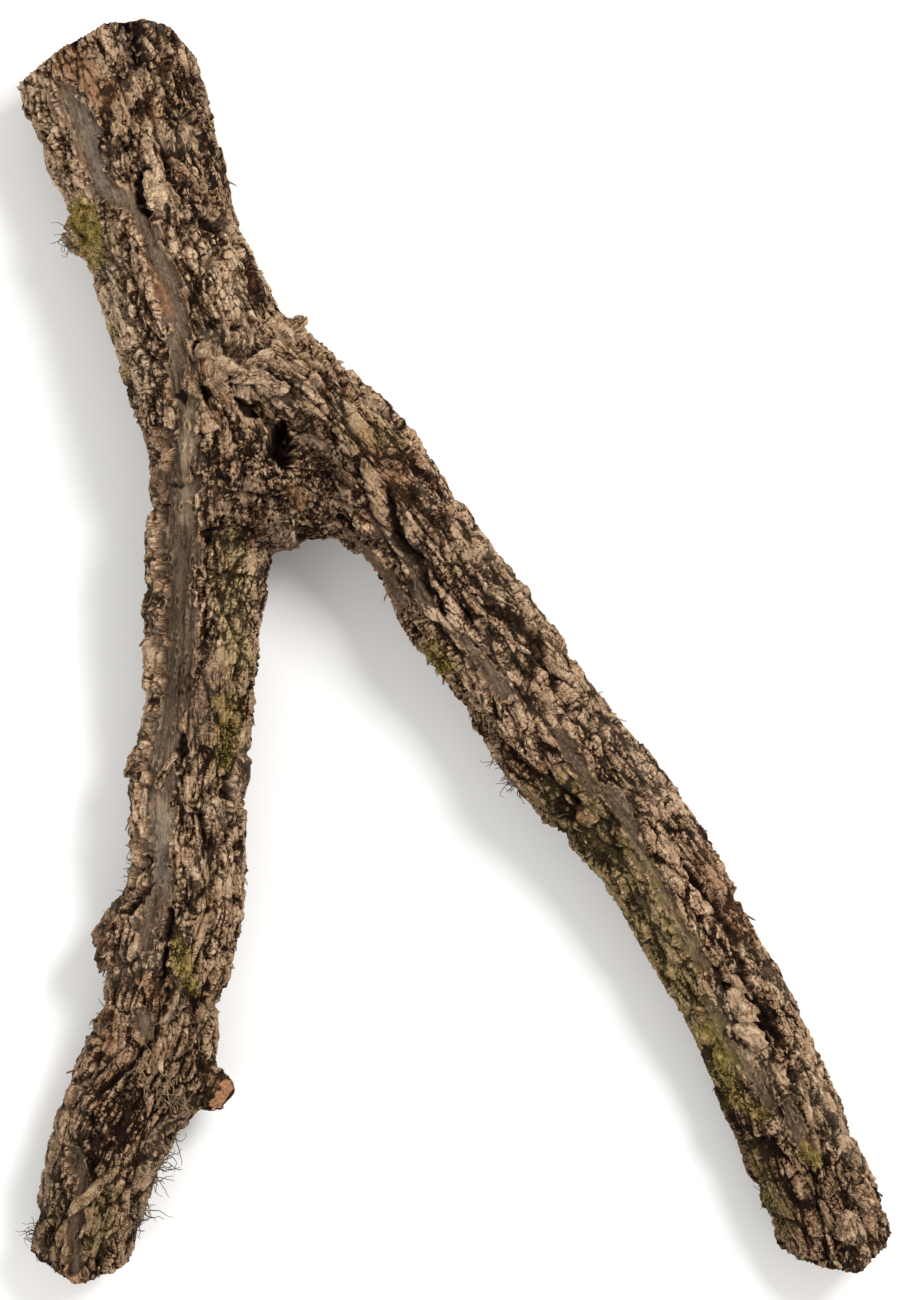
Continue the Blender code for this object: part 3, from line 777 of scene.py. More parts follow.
away = np.linalg.norm((points - CALLUS_CENTRE) / CALLUS_HALF_SIZE, axis=1)
callus = CALLUS_SHARE * (1.0 - ramp(0.7, 1.15, away))
felt = np.flatnonzero(callus > 0.0)
for total, value in zip((height, crack, shade, seam), callus_bark(points[felt])):
    total[felt] += (value - total[felt]) * callus[felt]

# %% Grooves, seams and holes
plan = points[:, :2] + noise_vector(points, 14.0, (34, 36, 38), 3)[:, :2] * 3.0
rough = 0.3 * fractal(points / 4.0, 39, 2)
facing_up = ramp(-0.15, 0.25, normals[:, 2])
smooth = np.zeros(count)
bed = np.zeros(count)
ragged = rough + EDGE_RAGGED * (plates(points / EDGE_CELL, 61)[1] - 0.5)
for half_width, depth, path in SMOOTH_GROOVES:
    inside = facing_up * within(plan, ragged, half_width, (0.8, 1.1), path)
    bed = np.where(inside > smooth, -depth, bed)
    smooth = np.maximum(smooth, inside)
felt = np.flatnonzero(smooth > 0.0)
for total, value, base in zip((height, crack, shade), inner_bark(grain[felt]), (bed[felt], 0.0, 0.0)):
    total[felt] += (base + value - total[felt]) * smooth[felt]
for half_width, rise, path in SEAMS:
    height += facing_up * within(plan, rough, half_width, (0.2, 1.0), path, 0.6) * rise
# Painted shade in the furrows and holes: the deeper the hole, the darker.
painted_hole_shade = np.zeros(count)
plan += noise_vector(points, 5.0, (35, 37, 40), 2)[:, :2] * 1.6
broken = ramp(-0.5, 0.1, fractal(points / 10.0, 64, 2))
for half_width, depth, path in FURROWS:
    whole = broken if half_width < HOLE_HALF_WIDTH else 1.0
    inside = facing_up * whole * within(plan, 1.6 * rough, half_width, (0.3, 1.0), path, 0.6)
    height -= inside * depth
    painted_hole_shade = np.maximum(painted_hole_shade, ramp(0.1, 0.7, inside) * min(1.0, 0.45 + depth / 16.0))
print("bark height from", round(float(height.min()), 1), "to", round(float(height.max()), 1), "mm")

moved = points + normals * height[:, None]
skin.vertices.foreach_set("co", ((moved - ORIGIN) * MM).ravel())
skin.update()


# %% [markdown]
# A point is in a hollow where the bark around it is higher than itself. Averaging each height with those of the
# neighbours, again and again, gives the height of the surroundings.

# %% Hollows and edges
edge_ends = np.empty(len(skin.edges) * 2, int)
skin.edges.foreach_get("vertices", edge_ends)
edge_ends = edge_ends.reshape(-1, 2)
neighbours = np.bincount(edge_ends.ravel(), minlength=count)


def blurred(values, rounds):
    """Each point's value, averaged with its neighbours' for that many rounds."""
    for _ in range(rounds):
        total = np.bincount(edge_ends[:, 0], values[edge_ends[:, 1]], count)
        total += np.bincount(edge_ends[:, 1], values[edge_ends[:, 0]], count)
        values = 0.4 * values + 0.6 * total / neighbours
    return values


fine_relief = height - blurred(height, 5)
broad_relief = blurred(height, 3) - blurred(height, 50)
# Painted shade and highlight: lying in a hollow darkens a point's tone, and standing proud lightens it, partly as
# worn edges.
painted_hollow_shade = np.clip(-0.40 * fine_relief - 0.07 * broad_relief, 0.0, 1.0)
proud = np.clip(0.40 * fine_relief + 0.09 * broad_relief, 0.0, 1.0)

# %% [markdown]
# ## Patches of colour
#
# Where bark broke off lately it is orange-brown inside, old faces bleach to pale grey or straw, some pockets are
# dark brown, and green algae and moss live where the wood stays damp. These patches are placed one by one too.

# %% Patches: colour, strength, half width in millimetres, and a path in the view from above
MOSS = "#9a8440"
ALGAE = "#8b7a4c"
TORN = "#946a4a"
PALE = "#c4a888"
GREY = "#7d7064"
DARK_BROWN = "#2b1e15"
PATCHES = (
    (TORN, 0.65, 13.0, ((78, 72), (95, 88), (114, 104))),
    (GREY, 0.6, 7.0, ((82, 104), (94, 140), (106, 200))),
    (DARK_BROWN, 0.7, 9.0, ((130, 28), (135, 50), (139, 80))),
    (PALE, 0.6, 8.0, ((155, 172), (158, 195), (168, 218))),
    (TORN, 0.7, 6.0, ((164, 160), (178, 168))),
    (MOSS, 0.95, 13.0, ((86, 220), (93, 238), (99, 258))),
    (PALE, 0.55, 18.0, ((102, 268), (118, 330), (134, 395))),
    (ALGAE, 0.5, 9.0, ((112, 335), (124, 375))),
    (TORN, 0.6, 4.0, ((153, 272), (166, 300), (172, 318))),
    (PALE, 0.4, 10.0, ((208, 352), (225, 338), (252, 342))),
    (PALE, 0.55, 8.0, ((242, 394), (262, 374), (284, 404))),
    (DARK_BROWN, 0.6, 18.0, ((312, 438), (342, 470))),
    (DARK_BROWN, 0.3, 26.0, ((250, 510), (290, 520), (325, 505))),
    (TORN, 0.6, 12.0, ((370, 440), (392, 470), (398, 500))),
    (TORN, 0.6, 7.0, ((294, 492), (303, 502))),
    (TORN, 0.4, 9.0, ((205, 365), (196, 385))),
    (PALE, 0.45, 7.0, ((192, 420), (188, 460), (186, 520))),
    (PALE, 0.25, 6.0, ((156, 440), (155, 500), (156, 560), (155, 620), (153, 690))),
    (ALGAE, 0.5, 15.0, ((235, 550), (232, 600), (240, 660))),
    (MOSS, 0.6, 11.0, ((230, 702), (226, 758))),
    (PALE, 0.5, 9.0, ((160, 806), (172, 834))),
    (GREY, 0.5, 10.0, ((160, 812), (160, 880))),
    (MOSS, 0.65, 9.0, ((180, 942), (190, 984))),
    (TORN, 0.6, 7.0, ((148, 980), (170, 990))),
    (TORN, 0.6, 10.0, ((104, 1000), (112, 1050))),
    (TORN, 0.7, 8.0, ((216, 1086), (228, 1096))),
    (ALGAE, 0.35, 14.0, ((354, 425), (392, 442))),
    (MOSS, 0.6, 9.0, ((430, 648), (446, 666))),
    (PALE, 0.2, 22.0, ((470, 540), (530, 620), (600, 710), (660, 790))),
    (ALGAE, 0.55, 24.0, ((560, 800), (640, 900), (680, 990), (720, 1080))),
    (TORN, 0.6, 7.0, ((572, 806), (580, 814))),
    (PALE, 0.5, 12.0, ((724, 996), (752, 1046))),
    (MOSS, 0.6, 7.0, ((706, 1030), (735, 1100), (757, 1112))),
    (ALGAE, 0.6, 18.0, ((745, 1160), (776, 1224))),
    (MOSS, 0.6, 6.0, ((803, 1146), (811, 1156))),
    (TORN, 0.4, 14.0, ((700, 860), (740, 930))),
    (PALE, 0.4, 14.0, ((810, 1080), (842, 1140))),
    (PALE, 0.4, 16.0, ((60, 1130), (44, 1200))),
    (ALGAE, 0.4, 12.0, ((110, 1180), (96, 1240))),
)

# Lighter and darker areas: change of tone, half width in millimetres, and a path in the view from above.
AREAS = (
    (0.18, 20.0, ((38, 92), (66, 160), (84, 215))),
    (0.14, 20.0, ((104, 270), (120, 330), (136, 400))),
    (0.06, 20.0, ((140, 270), (156, 330))),
    (-0.11, 17.0, ((192, 414), (182, 480), (177, 560), (176, 690))),
    (-0.02, 10.0, ((158, 440), (156, 560), (153, 690))),
    (-0.14, 24.0, ((222, 350), (258, 365), (278, 392))),
    (-0.06, 26.0, ((540, 660), (590, 730), (620, 790))),
    (-0.08, 26.0, ((790, 1150), (840, 1230))),
    (0.06, 14.0, ((182, 860), (186, 900))),
    (-0.14, 20.0, ((196, 90), (212, 150), (226, 200))),
    (0.15, 24.0, ((205, 250), (240, 300))),
    (0.1, 24.0, ((310, 430), (340, 470))),
    (0.1, 26.0, ((212, 790), (205, 860))),
    (0.08, 20.0, ((232, 570), (232, 680))),
    (-0.26, 22.0, ((210, 690), (215, 745))),
    (-0.14, 40.0, ((110, 1110), (80, 1180), (72, 1250))),
    (-0.1, 24.0, ((165, 1065), (195, 1100))),
    (-0.26, 24.0, ((540, 790), (600, 830))),
    (-0.3, 20.0, ((700, 1060), (738, 1120), (775, 1225))),
    (-0.1, 14.0, ((610, 850), (660, 940), (700, 1020))),
    (-0.12, 20.0, ((60, 1130), (36, 1230))),
)
area = np.zeros(count)
for change, half_width, path in AREAS:
    area += change * within(plan, 2.0 * rough, half_width, (0.3, 1.3), path)
rim = 4.0 * smooth * (1.0 - smooth)

stain = np.zeros((count, 4))
stain[:, :3] = colour(TORN)[:3]
stain[:, 3] = 0.3 * rim
for hex_text, strength, half_width, path in PATCHES:
    share = strength * facing_up * within(plan, 2.0 * rough, half_width, (0.3, 1.2), path)
    kept = stain[:, 3] * (1.0 - share)
    total = kept + share
    stain[:, :3] += (np.array(colour(hex_text)[:3]) - stain[:, :3]) * (share / np.maximum(total, 1e-6))[:, None]
    stain[:, 3] = total


# %% Keep them on the mesh
def keep(mesh, name, values, kind="FLOAT"):
    """Stores numbers for each point under a name that the material reads."""
    kept_as = {"FLOAT": "value", "FLOAT_VECTOR": "vector", "FLOAT_COLOR": "color"}[kind]
    attribute = mesh.attributes.new(name, kind, "POINT")
    attribute.data.foreach_set(kept_as, np.asarray(values, np.float32).ravel())


PLAIN_TONE = 0.54
# How dark the painted shade in cracks and in holes is.
CRACK_PAINTED_SHADE = 0.55
HOLE_PAINTED_SHADE = 0.97
# Farther than this from a gap, in millimetres, no seam is drawn.
OFF_SEAMS = 3.0

# Painted shade: the colour goes towards near black in fissures, slits, gaps and holes, and the tone darkens in
# hollows. Painted highlight, partly edge wear: the tone is lighter where the bark stands proud.
dark = np.clip(np.maximum(crack, painted_hole_shade), 0.0, 1.0)
tone_here = PLAIN_TONE + area + 0.16 * shade + 0.13 * proud - 0.18 * painted_hollow_shade - 0.18 * dark
keep(skin, "tone", tone_here)
keep(skin, "dark", np.maximum(CRACK_PAINTED_SHADE * dark, HOLE_PAINTED_SHADE * painted_hole_shade))
keep(skin, "seam", np.clip(seam, 0.0, OFF_SEAMS) + OFF_SEAMS * smooth)
keep(skin, "smooth", smooth)
keep(skin, "stain", stain, "FLOAT_COLOR")
keep(skin, "grain", grain * MM, "FLOAT_VECTOR")


# %% [markdown]
# ## Cork bark
#
# Weathered cork is dead, dry and matte: no gloss, roughness near 0.9. Its faces are grey-tan, edges that stand
# proud are painted paler, partly as wear and partly as painted highlight, torn places show the warm brown inside,
# and the furrows, slits and holes are painted dark as shade. The grooves show the inner bark, smoother and greyer.
# One number, the tone, says how light a point is. It comes from the relief, painted shade in the hollows included,
# and from fine noise along the grain, and a colour ramp turns it into the browns of cork.

# %% Patterns along the grain
cork_bark, cork_shader = new_material("cork_bark")
tree = cork_bark.node_tree
grain_place = add_node(tree, "ShaderNodeAttribute", {"attribute_name": "grain"}, "Vector")
# Each pattern's size along and twice across the limb in millimetres, its detail and its roughness.
PATTERNS = {
    "fibre": ((13.0, 1.1, 1.1), 3.0, 0.6),
    "grit": ((3.0, 1.9, 1.9), 4.0, 0.75),
    "blotch": ((60.0, 26.0, 26.0), 3.0, 0.6),
    "warm": ((22.0, 9.0, 9.0), 3.0, 0.6),
}
pattern = {}
for name, (size, detail, roughness) in PATTERNS.items():
    stretched = add_node(tree, "ShaderNodeMapping", {"Scale": pattern_scale(size), "Vector": grain_place})
    settings = {"Scale": 1.0, "Detail": detail, "Roughness": roughness, "Vector": stretched}
    pattern[name] = add_node(tree, "ShaderNodeTexNoise", settings)

# Hairline cracks: the edges of cells that are pushed about a little, wide in one place and closed in another.
HAIRLINES = {
    "strip": ((17.0, 6.0, 6.0), 0.085),
    "flake": ((7.0, 3.2, 3.2), 0.085),
    "band": ((3.6, 15.0, 15.0), 0.11),
}
CRACKED_SIZE = (24.0, 13.0, 13.0)
STIR_SIZE = 3.0
stretched = add_node(tree, "ShaderNodeMapping", {"Scale": pattern_scale(CRACKED_SIZE), "Vector": grain_place})
cracked = add_node(tree, "ShaderNodeTexNoise", {"Scale": 1.0, "Detail": 2.0, "Vector": stretched})
stir = add_node(
    tree, "ShaderNodeTexNoise", {"Scale": 1.0 / (MM * STIR_SIZE), "Detail": 2.0, "Vector": grain_place}, "Color"
)
for name, (size, width) in HAIRLINES.items():
    stretched = add_node(tree, "ShaderNodeMapping", {"Scale": pattern_scale(size), "Vector": grain_place})
    stirred = add_node(
        tree, "ShaderNodeVectorMath", {"operation": "MULTIPLY_ADD", 0: stir, 1: (0.8, 0.8, 0.8), 2: stretched}
    )
    cells = {"feature": "DISTANCE_TO_EDGE", "Scale": 1.0, "Vector": stirred}
    edge = add_node(tree, "ShaderNodeTexVoronoi", cells, "Distance")
    opening = add_node(
        tree,
        "ShaderNodeMapRange",
        {"Value": cracked, "From Min": 0.36, "From Max": 0.64, "To Min": 0.01, "To Max": width},
    )
    pattern[name] = add_node(tree, "ShaderNodeMapRange", {"Value": edge, "From Max": opening})

# The cracks between plates: drawn where the nearest one is less than about a millimetre away, give or take.
seam_way = add_node(tree, "ShaderNodeAttribute", {"attribute_name": "seam"}, "Fac")
wavering = add_node(tree, "ShaderNodeMath", {"operation": "MULTIPLY_ADD", 0: cracked, 1: -1.4, 2: seam_way})
grainy = add_node(tree, "ShaderNodeMath", {"operation": "MULTIPLY_ADD", 0: pattern["grit"], 1: 1.0, 2: wavering})
settings = {"interpolation_type": "SMOOTHSTEP", "Value": grainy, "From Min": -0.15, "From Max": 0.3}
pattern["seam"] = add_node(tree, "ShaderNodeMapRange", settings)

# The inner bark is smooth: there the fine patterns fade towards the value that each has on a plain face.
smooth_share = add_node(tree, "ShaderNodeAttribute", {"attribute_name": "smooth"}, "Fac")
FADED = {
    "fibre": (0.5, 0.2),
    "grit": (0.5, 0.15),
    "strip": (1.0, 0.8),
    "flake": (1.0, 0.5),
    "band": (1.0, 0.9),
    "seam": (1.0, 1.0),
}
for name, (plain, share) in FADED.items():
    faded = add_node(tree, "ShaderNodeMath", {"operation": "MULTIPLY", 0: smooth_share, 1: share})
    pattern[name] = add_node(tree, "ShaderNodeMix", {0: faded, 2: pattern[name], 3: plain})

# %% Tone
tone = add_node(tree, "ShaderNodeAttribute", {"attribute_name": "tone"}, "Fac")
# How much each pattern adds to the tone at its highest, and what it adds at 0.
TONE_SHARES = {
    "fibre": (0.74, -0.37),
    "grit": (0.95, -0.475),
    "blotch": (0.22, -0.11),
    "strip": (0.46, -0.42),
    "flake": (0.3, -0.26),
    "band": (0.3, -0.27),
    "seam": (0.56, -0.5),
}
for name, (gain, start) in TONE_SHARES.items():
    part = add_node(tree, "ShaderNodeMath", {"operation": "MULTIPLY_ADD", 0: pattern[name], 1: gain, 2: start})
    tone = add_node(tree, "ShaderNodeMath", {"operation": "ADD", 0: tone, 1: part})

RAMPS = {
    "cork": ("#1c0f07", "#3a2618", "#5f4630", "#80644a", "#9c7f63", "#b39577", "#c8ad8e"),
    "inner": ("#120b06", "#261a11", "#3b2d22", "#4e3e31", "#61503f", "#766351", "#8e7a65"),
}
browns = {}
for name, colours in RAMPS.items():
    brown = add_node(tree, "ShaderNodeValToRGB", {"Fac": tone}, None)
    stops = brown.color_ramp.elements
    stops[0].color = colour(colours[0])
    stops[1].color = colour(colours[-1])
    for number, hex_text in enumerate(colours[1:-1], 1):
        stops.new(number / (len(colours) - 1)).color = colour(hex_text)
    browns[name] = brown.outputs[0]

# %% Colour layers
# Grey and warm blotches over the cork, and the inner bark in the grooves.
bark_layers = (
    ("#86745f", pattern["blotch"], 0.5, 0.72, 0.4),
    ("#8c5a34", pattern["warm"], 0.58, 0.78, 0.5),
    (browns["inner"], smooth_share, 0.2, 0.8, 1.0),
)
face = layered(tree, browns["cork"], bark_layers)
# A patch keeps the light and dark of the bark under it.
patch = add_node(tree, "ShaderNodeAttribute", {"attribute_name": "stain"}, "Color")
patch_share = add_node(tree, "ShaderNodeAttribute", {"attribute_name": "stain"}, "Alpha")
light = add_node(
    tree, "ShaderNodeMapRange", {"Value": tone, "From Min": 0.05, "From Max": 0.95, "To Min": 0.2, "To Max": 1.25}
)
patch = add_node(tree, "ShaderNodeVectorMath", {"operation": "SCALE", 0: patch, "Scale": light})
face = add_node(tree, "ShaderNodeMix", {"data_type": "RGBA", 0: patch_share, 6: face, 7: patch}, 2)
# Painted shade: fissures, slits, gaps and holes are darkened towards near black, the deeper the darker.
dark = add_node(tree, "ShaderNodeAttribute", {"attribute_name": "dark"}, "Fac")
face = add_node(tree, "ShaderNodeMix", {"data_type": "RGBA", 0: dark, 6: face, 7: "#22130a"}, 2)
tree.links.new(face, cork_shader.inputs["Base Color"])
cork_shader.inputs["Roughness"].default_value = 0.88
cork_shader.inputs["Specular IOR Level"].default_value = 0.1

# %% Relief too fine for the mesh
# Each pattern's strength and its height in millimetres.
BUMPS = {
    "seam": (0.9, 1.2),
    "strip": (0.8, 1.0),
    "flake": (0.8, 0.7),
    "band": (0.7, 0.6),
    "fibre": (0.8, 0.9),
    "grit": (0.9, 0.9),
}
bumped = None
for name, (strength, rise) in BUMPS.items():
    settings = {"Strength": strength, "Distance": rise * MM, "Height": pattern[name]}
    if bumped:
        settings["Normal"] = bumped
    bumped = add_node(tree, "ShaderNodeBump", settings)
tree.links.new(bumped, cork_shader.inputs["Normal"])

# %% [markdown]
# ## Sawn ends
#
# The trunk end and both feet were sawn off long ago: pinkish-brown wood with rings, greyed by age, inside a ring
# of cork. The rings are worked out from how far a point is from the pith, the middle of that limb.

# %% Sawn oak material
# Each pith: a point on it and the direction of its limb in design millimetres, and the limb's radius.
PITHS = (
    ((-258.0, 448.0, 58.5), (-0.26, 0.97, 0.0), 60.0),
    ((-269.9, -452.0, 36.0), (-0.08, -1.0, 0.0), 31.0),
    ((288.5, -449.0, 39.0), (0.35, -0.94, 0.0), 31.0),
)
RING_WIDTH = 2.6
CORK_SHARE = 0.82

sawn_end, end_shader = new_material("sawn_oak")
tree = sawn_end.node_tree
place = add_node(tree, "ShaderNodeTexCoord", {}, "Object")
from_pith = None
for middle, axis, radius in PITHS:
    offset = add_node(
        tree, "ShaderNodeVectorMath", {"operation": "SUBTRACT", 0: place, 1: (np.array(middle) - ORIGIN) * MM}
    )
    across = add_node(
        tree, "ShaderNodeVectorMath", {"operation": "CROSS_PRODUCT", 0: offset, 1: Vector(axis).normalized()}
    )
    distance = add_node(tree, "ShaderNodeVectorMath", {"operation": "LENGTH", 0: across}, "Value")
    share = add_node(tree, "ShaderNodeMath", {"operation": "DIVIDE", 0: distance, 1: radius * MM})
    if from_pith:
        share = add_node(tree, "ShaderNodeMath", {"operation": "MINIMUM", 0: from_pith, 1: share})
    from_pith = share
uneven = add_node(tree, "ShaderNodeTexNoise", {"Scale": 40.0, "Detail": 4.0, "Vector": place})
grit = add_node(tree, "ShaderNodeTexNoise", {"Scale": 600.0, "Detail": 3.0, "Vector": place})
bent = add_node(tree, "ShaderNodeMath", {"operation": "MULTIPLY_ADD", 0: uneven, 1: 0.16, 2: from_pith})
ring = add_node(tree, "ShaderNodeMath", {"operation": "MULTIPLY", 0: bent, 1: PITHS[0][2] / RING_WIDTH})
ring = add_node(tree, "ShaderNodeMath", {"operation": "PINGPONG", 0: ring, 1: 0.5})
wood = add_node(tree, "ShaderNodeMix", {"data_type": "RGBA", 0: ring, 6: "#a07c58", 7: "#5d4431"}, 2)
# Grey from age, grit from the saw, and the ring of cork outside the wood.
end_layers = (
    ("#4a3a2c", uneven, 0.45, 0.75, 0.6),
    ("#2c2018", grit, 0.5, 0.8, 0.7),
    ("#7a5334", bent, CORK_SHARE, CORK_SHARE + 0.05, 0.85),
)
tree.links.new(layered(tree, wood, end_layers), end_shader.inputs["Base Color"])
end_shader.inputs["Roughness"].default_value = 0.85
end_bump = add_node(tree, "ShaderNodeBump", {"Strength": 0.8, "Distance": 0.6 * MM, "Height": grit})
tree.links.new(end_bump, end_shader.inputs["Normal"])

# %% Snapped oak material
# Torn wood shows its long fibres: orange-brown, paler where they stand out. They run along the twig, which points
# down and to the right.
TORN_SCALE = (160.0, 700.0, 700.0)
TWIG_TURN = (0.0, 0.5, 0.4)

snapped_end, snapped_shader = new_material("snapped_oak")
tree = snapped_end.node_tree
place = add_node(tree, "ShaderNodeTexCoord", {}, "Object")
stretched = add_node(tree, "ShaderNodeMapping", {"Scale": TORN_SCALE, "Rotation": TWIG_TURN, "Vector": place})
fibres = add_node(tree, "ShaderNodeTexNoise", {"Scale": 1.0, "Detail": 3.0, "Roughness": 0.6, "Vector": stretched})
tree.links.new(speckled(tree, fibres, "#5b3520", "#b98358"), snapped_shader.inputs["Base Color"])
snapped_shader.inputs["Roughness"].default_value = 0.85
snapped_bump = add_node(tree, "ShaderNodeBump", {"Strength": 0.9, "Distance": 1.5 * MM, "Height": fibres})
tree.links.new(snapped_bump, snapped_shader.inputs["Normal"])

# %% [markdown]
# ## Lengths of the branch
#
# A million triangles in one mesh are hard to handle, so the finished bark is divided into six lengths that fit
# each other exactly. Each is cut from the whole by planes and closed with a flat face inside the limb, where
# nobody sees it. The same cut makes the sawn ends and pares three low points flat, where the branch rests.

# %% Cuts: a point on the plane in design millimetres, and the direction that is cut away
NORTH = (0.0, 1.0, 0.0)
SOUTH = (0.0, -1.0, 0.0)
TRUNK_LINE = (0.0, 190.0, 0.0)
FORK_LINE = (0.0, 20.0, 0.0)
LEFT_LINE = (0.0, -210.0, 0.0)
RIGHT_LINE = (0.0, -190.0, 0.0)
BETWEEN_LEGS = (-90.0, 0.0, 0.0)
EAST = (1.0, 0.0, 0.0)
WEST = (-1.0, 0.0, 0.0)
SAW_REACH = 150.0
INNER_POINTS = (TRUNK_LINE, FORK_LINE, LEFT_LINE, RIGHT_LINE, BETWEEN_LEGS)
LENGTHS = {
    "bark_trunk": (
        (TRUNK_LINE, SOUTH),
        ((-294.5, 411.0, 60.0), (-0.56, 0.828, 0.0)),
        ((-261.0, 432.0, 60.0), (-0.50, 0.866, 0.0)),
        ((-232.0, 442.5, 60.0), (-0.14, 0.99, 0.0)),
        ((-211.0, 443.0, 60.0), (0.2, 0.98, 0.0)),
        ((-197.0, 436.5, 60.0), (0.74, 0.67, 0.0)),
    ),
    "bark_fork": ((TRUNK_LINE, NORTH), (FORK_LINE, SOUTH)),
    "bark_left_leg": ((FORK_LINE, NORTH), (BETWEEN_LEGS, EAST), (LEFT_LINE, SOUTH)),
    "bark_right_leg": ((FORK_LINE, NORTH), (BETWEEN_LEGS, WEST), (RIGHT_LINE, SOUTH)),
    "bark_left_foot": (
        (LEFT_LINE, NORTH),
        (BETWEEN_LEGS, EAST),
        ((-286.0, -440.5, 36.0), (-0.45, -0.88, -0.18)),
        ((-250.0, -444.5, 36.0), (0.22, -0.96, -0.18)),
    ),
    "bark_right_foot": (
        (RIGHT_LINE, NORTH),
        (BETWEEN_LEGS, WEST),
        ((262.0, -437.0, 39.0), (-0.14, -0.98, -0.18)),
        ((297.0, -431.0, 39.0), (0.60, -0.78, -0.18)),
    ),
}
REST = ((0.0, 0.0, ORIGIN[2]), (0.0, 0.0, -1.0))
# The side twig snapped off on a slant. Its plane reaches no farther than the stub.
SNAP = ((-164.5, -319.5, 57.0), (0.66, -0.40, 0.63))
SNAP_REACH = 24.0


# %% Cut the lengths
CHIP_SPACING = 5.0
CHIPPED = 2.4


def cut_flat(bm, point, outward, slot, reach=None):
    """Cuts off what lies beyond a plane, and closes the cut with flat triangles."""
    middle = Vector((np.array(point) - ORIGIN) * MM)
    geometry = bm.verts[:] + bm.edges[:] + bm.faces[:]
    if reach:
        near = [vertex for vertex in bm.verts if (vertex.co - middle).length < reach * MM]
        within_reach = set(near)
        geometry = near + [item for item in bm.edges[:] + bm.faces[:] if within_reach.issuperset(item.verts)]
    cut = bmesh.ops.bisect_plane(bm, geom=geometry, plane_co=middle, plane_no=Vector(outward), clear_outer=True)
    rim = [item for item in cut["geom_cut"] if isinstance(item, bmesh.types.BMEdge) and item.is_boundary]
    if not rim:
        return
    for item in bmesh.ops.triangle_fill(bm, edges=rim, use_beauty=True, normal=Vector(outward))["geom"]:
        if isinstance(item, bmesh.types.BMFace):
            item.material_index = slot
            item.smooth = False
    for edge in rim:
        edge.smooth = False


def drop_doubles(bm):
    """Removes the faces that lie back to back on another one, which a fill may leave where a cut only grazes."""
    same = {}
    for face in bm.faces:
        same.setdefault(frozenset(face.verts), []).append(face)
    doubled = [face for faces in same.values() if len(faces) > 1 for face in faces]
    bmesh.ops.delete(bm, geom=doubled, context="FACES")


def chip_rims(bm):
    """Chips the rim of every sawn or snapped face back, because dry cork crumbles under the saw."""
    facing = {}
    for edge in bm.edges:
        slots = {face.material_index: face for face in edge.link_faces}
        if len(slots) == 2:
            for vertex in edge.verts:
                facing[vertex] = slots[max(slots)].normal.copy()
    for vertex, outward in facing.items():
        worn = 0.5 + 0.5 * noise.fractal(vertex.co / (CHIP_SPACING * MM), 0.6, 2.0, 3)
        vertex.co -= outward * (CHIPPED * worn * MM)


skin.polygons.foreach_set("use_smooth", [True] * len(skin.polygons))
for name, cuts in LENGTHS.items():
    bm = bmesh.new()
    bm.from_mesh(skin)
    for point, outward in cuts:
        cut_flat(bm, point, outward, 0 if point in INNER_POINTS else 1)
    if name == "bark_left_foot":
        cut_flat(bm, *SNAP, 2, SNAP_REACH)
    cut_flat(bm, *REST, 0)
    bmesh.ops.holes_fill(bm, edges=[edge for edge in bm.edges if edge.is_boundary])
    bmesh.ops.triangulate(bm, faces=bm.faces)
    drop_doubles(bm)
    bmesh.ops.recalc_face_normals(bm, faces=bm.faces)
    chip_rims(bm)
    open_edges = sum(not edge.is_manifold for edge in bm.edges)
    mesh = bpy.data.meshes.new(name)
    bm.to_mesh(mesh)
    bm.free()
    mesh.materials.append(cork_bark)
    mesh.materials.append(sawn_end)
    mesh.materials.append(snapped_end)
    piece = bpy.data.objects.new(name, mesh)
    bpy.context.scene.collection.objects.link(piece)
    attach(piece, "root")
    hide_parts("branch")
    print(name, "has", len(mesh.polygons), "triangles and", open_edges, "open edges")

# %% [markdown]
# ## What grows and hangs on the bark
#
# Old bark is never clean. Thin scales lift and break off, crumbs lie in the pockets, moss sits in small cushions,
# and lichen and straw hang at the edges. Each is one small shape, placed again and again on points of the skin
# that are drawn with a fixed seed, so that every run gives the same branch.

# %% Points where something may grow
ROOM = 7.0
ANY_WAY = (0.0, 6.28)
surface = moved - ORIGIN
outward_of = np.empty(count * 3)
skin.vertices.foreach_get("normal", outward_of)
outward_of = outward_of.reshape(-1, 3)
free = surface[:, 2] > ROOM
open_cuts = [(*cut, SAW_REACH) for cuts in LENGTHS.values() for cut in cuts if cut[0] not in INNER_POINTS]
for point, outward, reach in (*open_cuts, (*SNAP, SNAP_REACH)):
    offset = moved - point
    free &= (offset @ outward < -ROOM) | (np.linalg.norm(offset, axis=1) > reach)
print(int(free.sum()), "of", count, "points are free")


def drawn(chosen, amount, seed):
    """That many of the chosen points, drawn by chance."""
    return np.random.default_rng(seed).choice(np.flatnonzero(chosen), amount, replace=False)


def near_view(path, reach):
    """Whether each point is that near a path in the view from above, and on the upper side."""
    return free & (normals[:, 2] > 0.1) & (near_path(plan, from_view(path), reach)[0] < reach)


def add_piece(name, bm_or_mesh, material):
    """A finished piece that rides with the branch."""
    if isinstance(bm_or_mesh, bmesh.types.BMesh):
        mesh = bpy.data.meshes.new(name)
        bm_or_mesh.to_mesh(mesh)
        bm_or_mesh.free()
    else:
        mesh = bm_or_mesh
    mesh.name = name
    mesh.materials.clear()
    mesh.materials.append(material)
    piece = bpy.data.objects.new(name, mesh)
    bpy.context.scene.collection.objects.link(piece)
    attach(piece, "root")
    print(name, "has", sum(len(face.vertices) - 2 for face in mesh.polygons), "triangles")


# %% [markdown]
# A scale is a flattened ball of twenty faces, pulled out of shape and shaded flat, so that it looks split off. It
# lies along the grain with one end lifted and the other sunk into the bark, and takes the bark's own material.

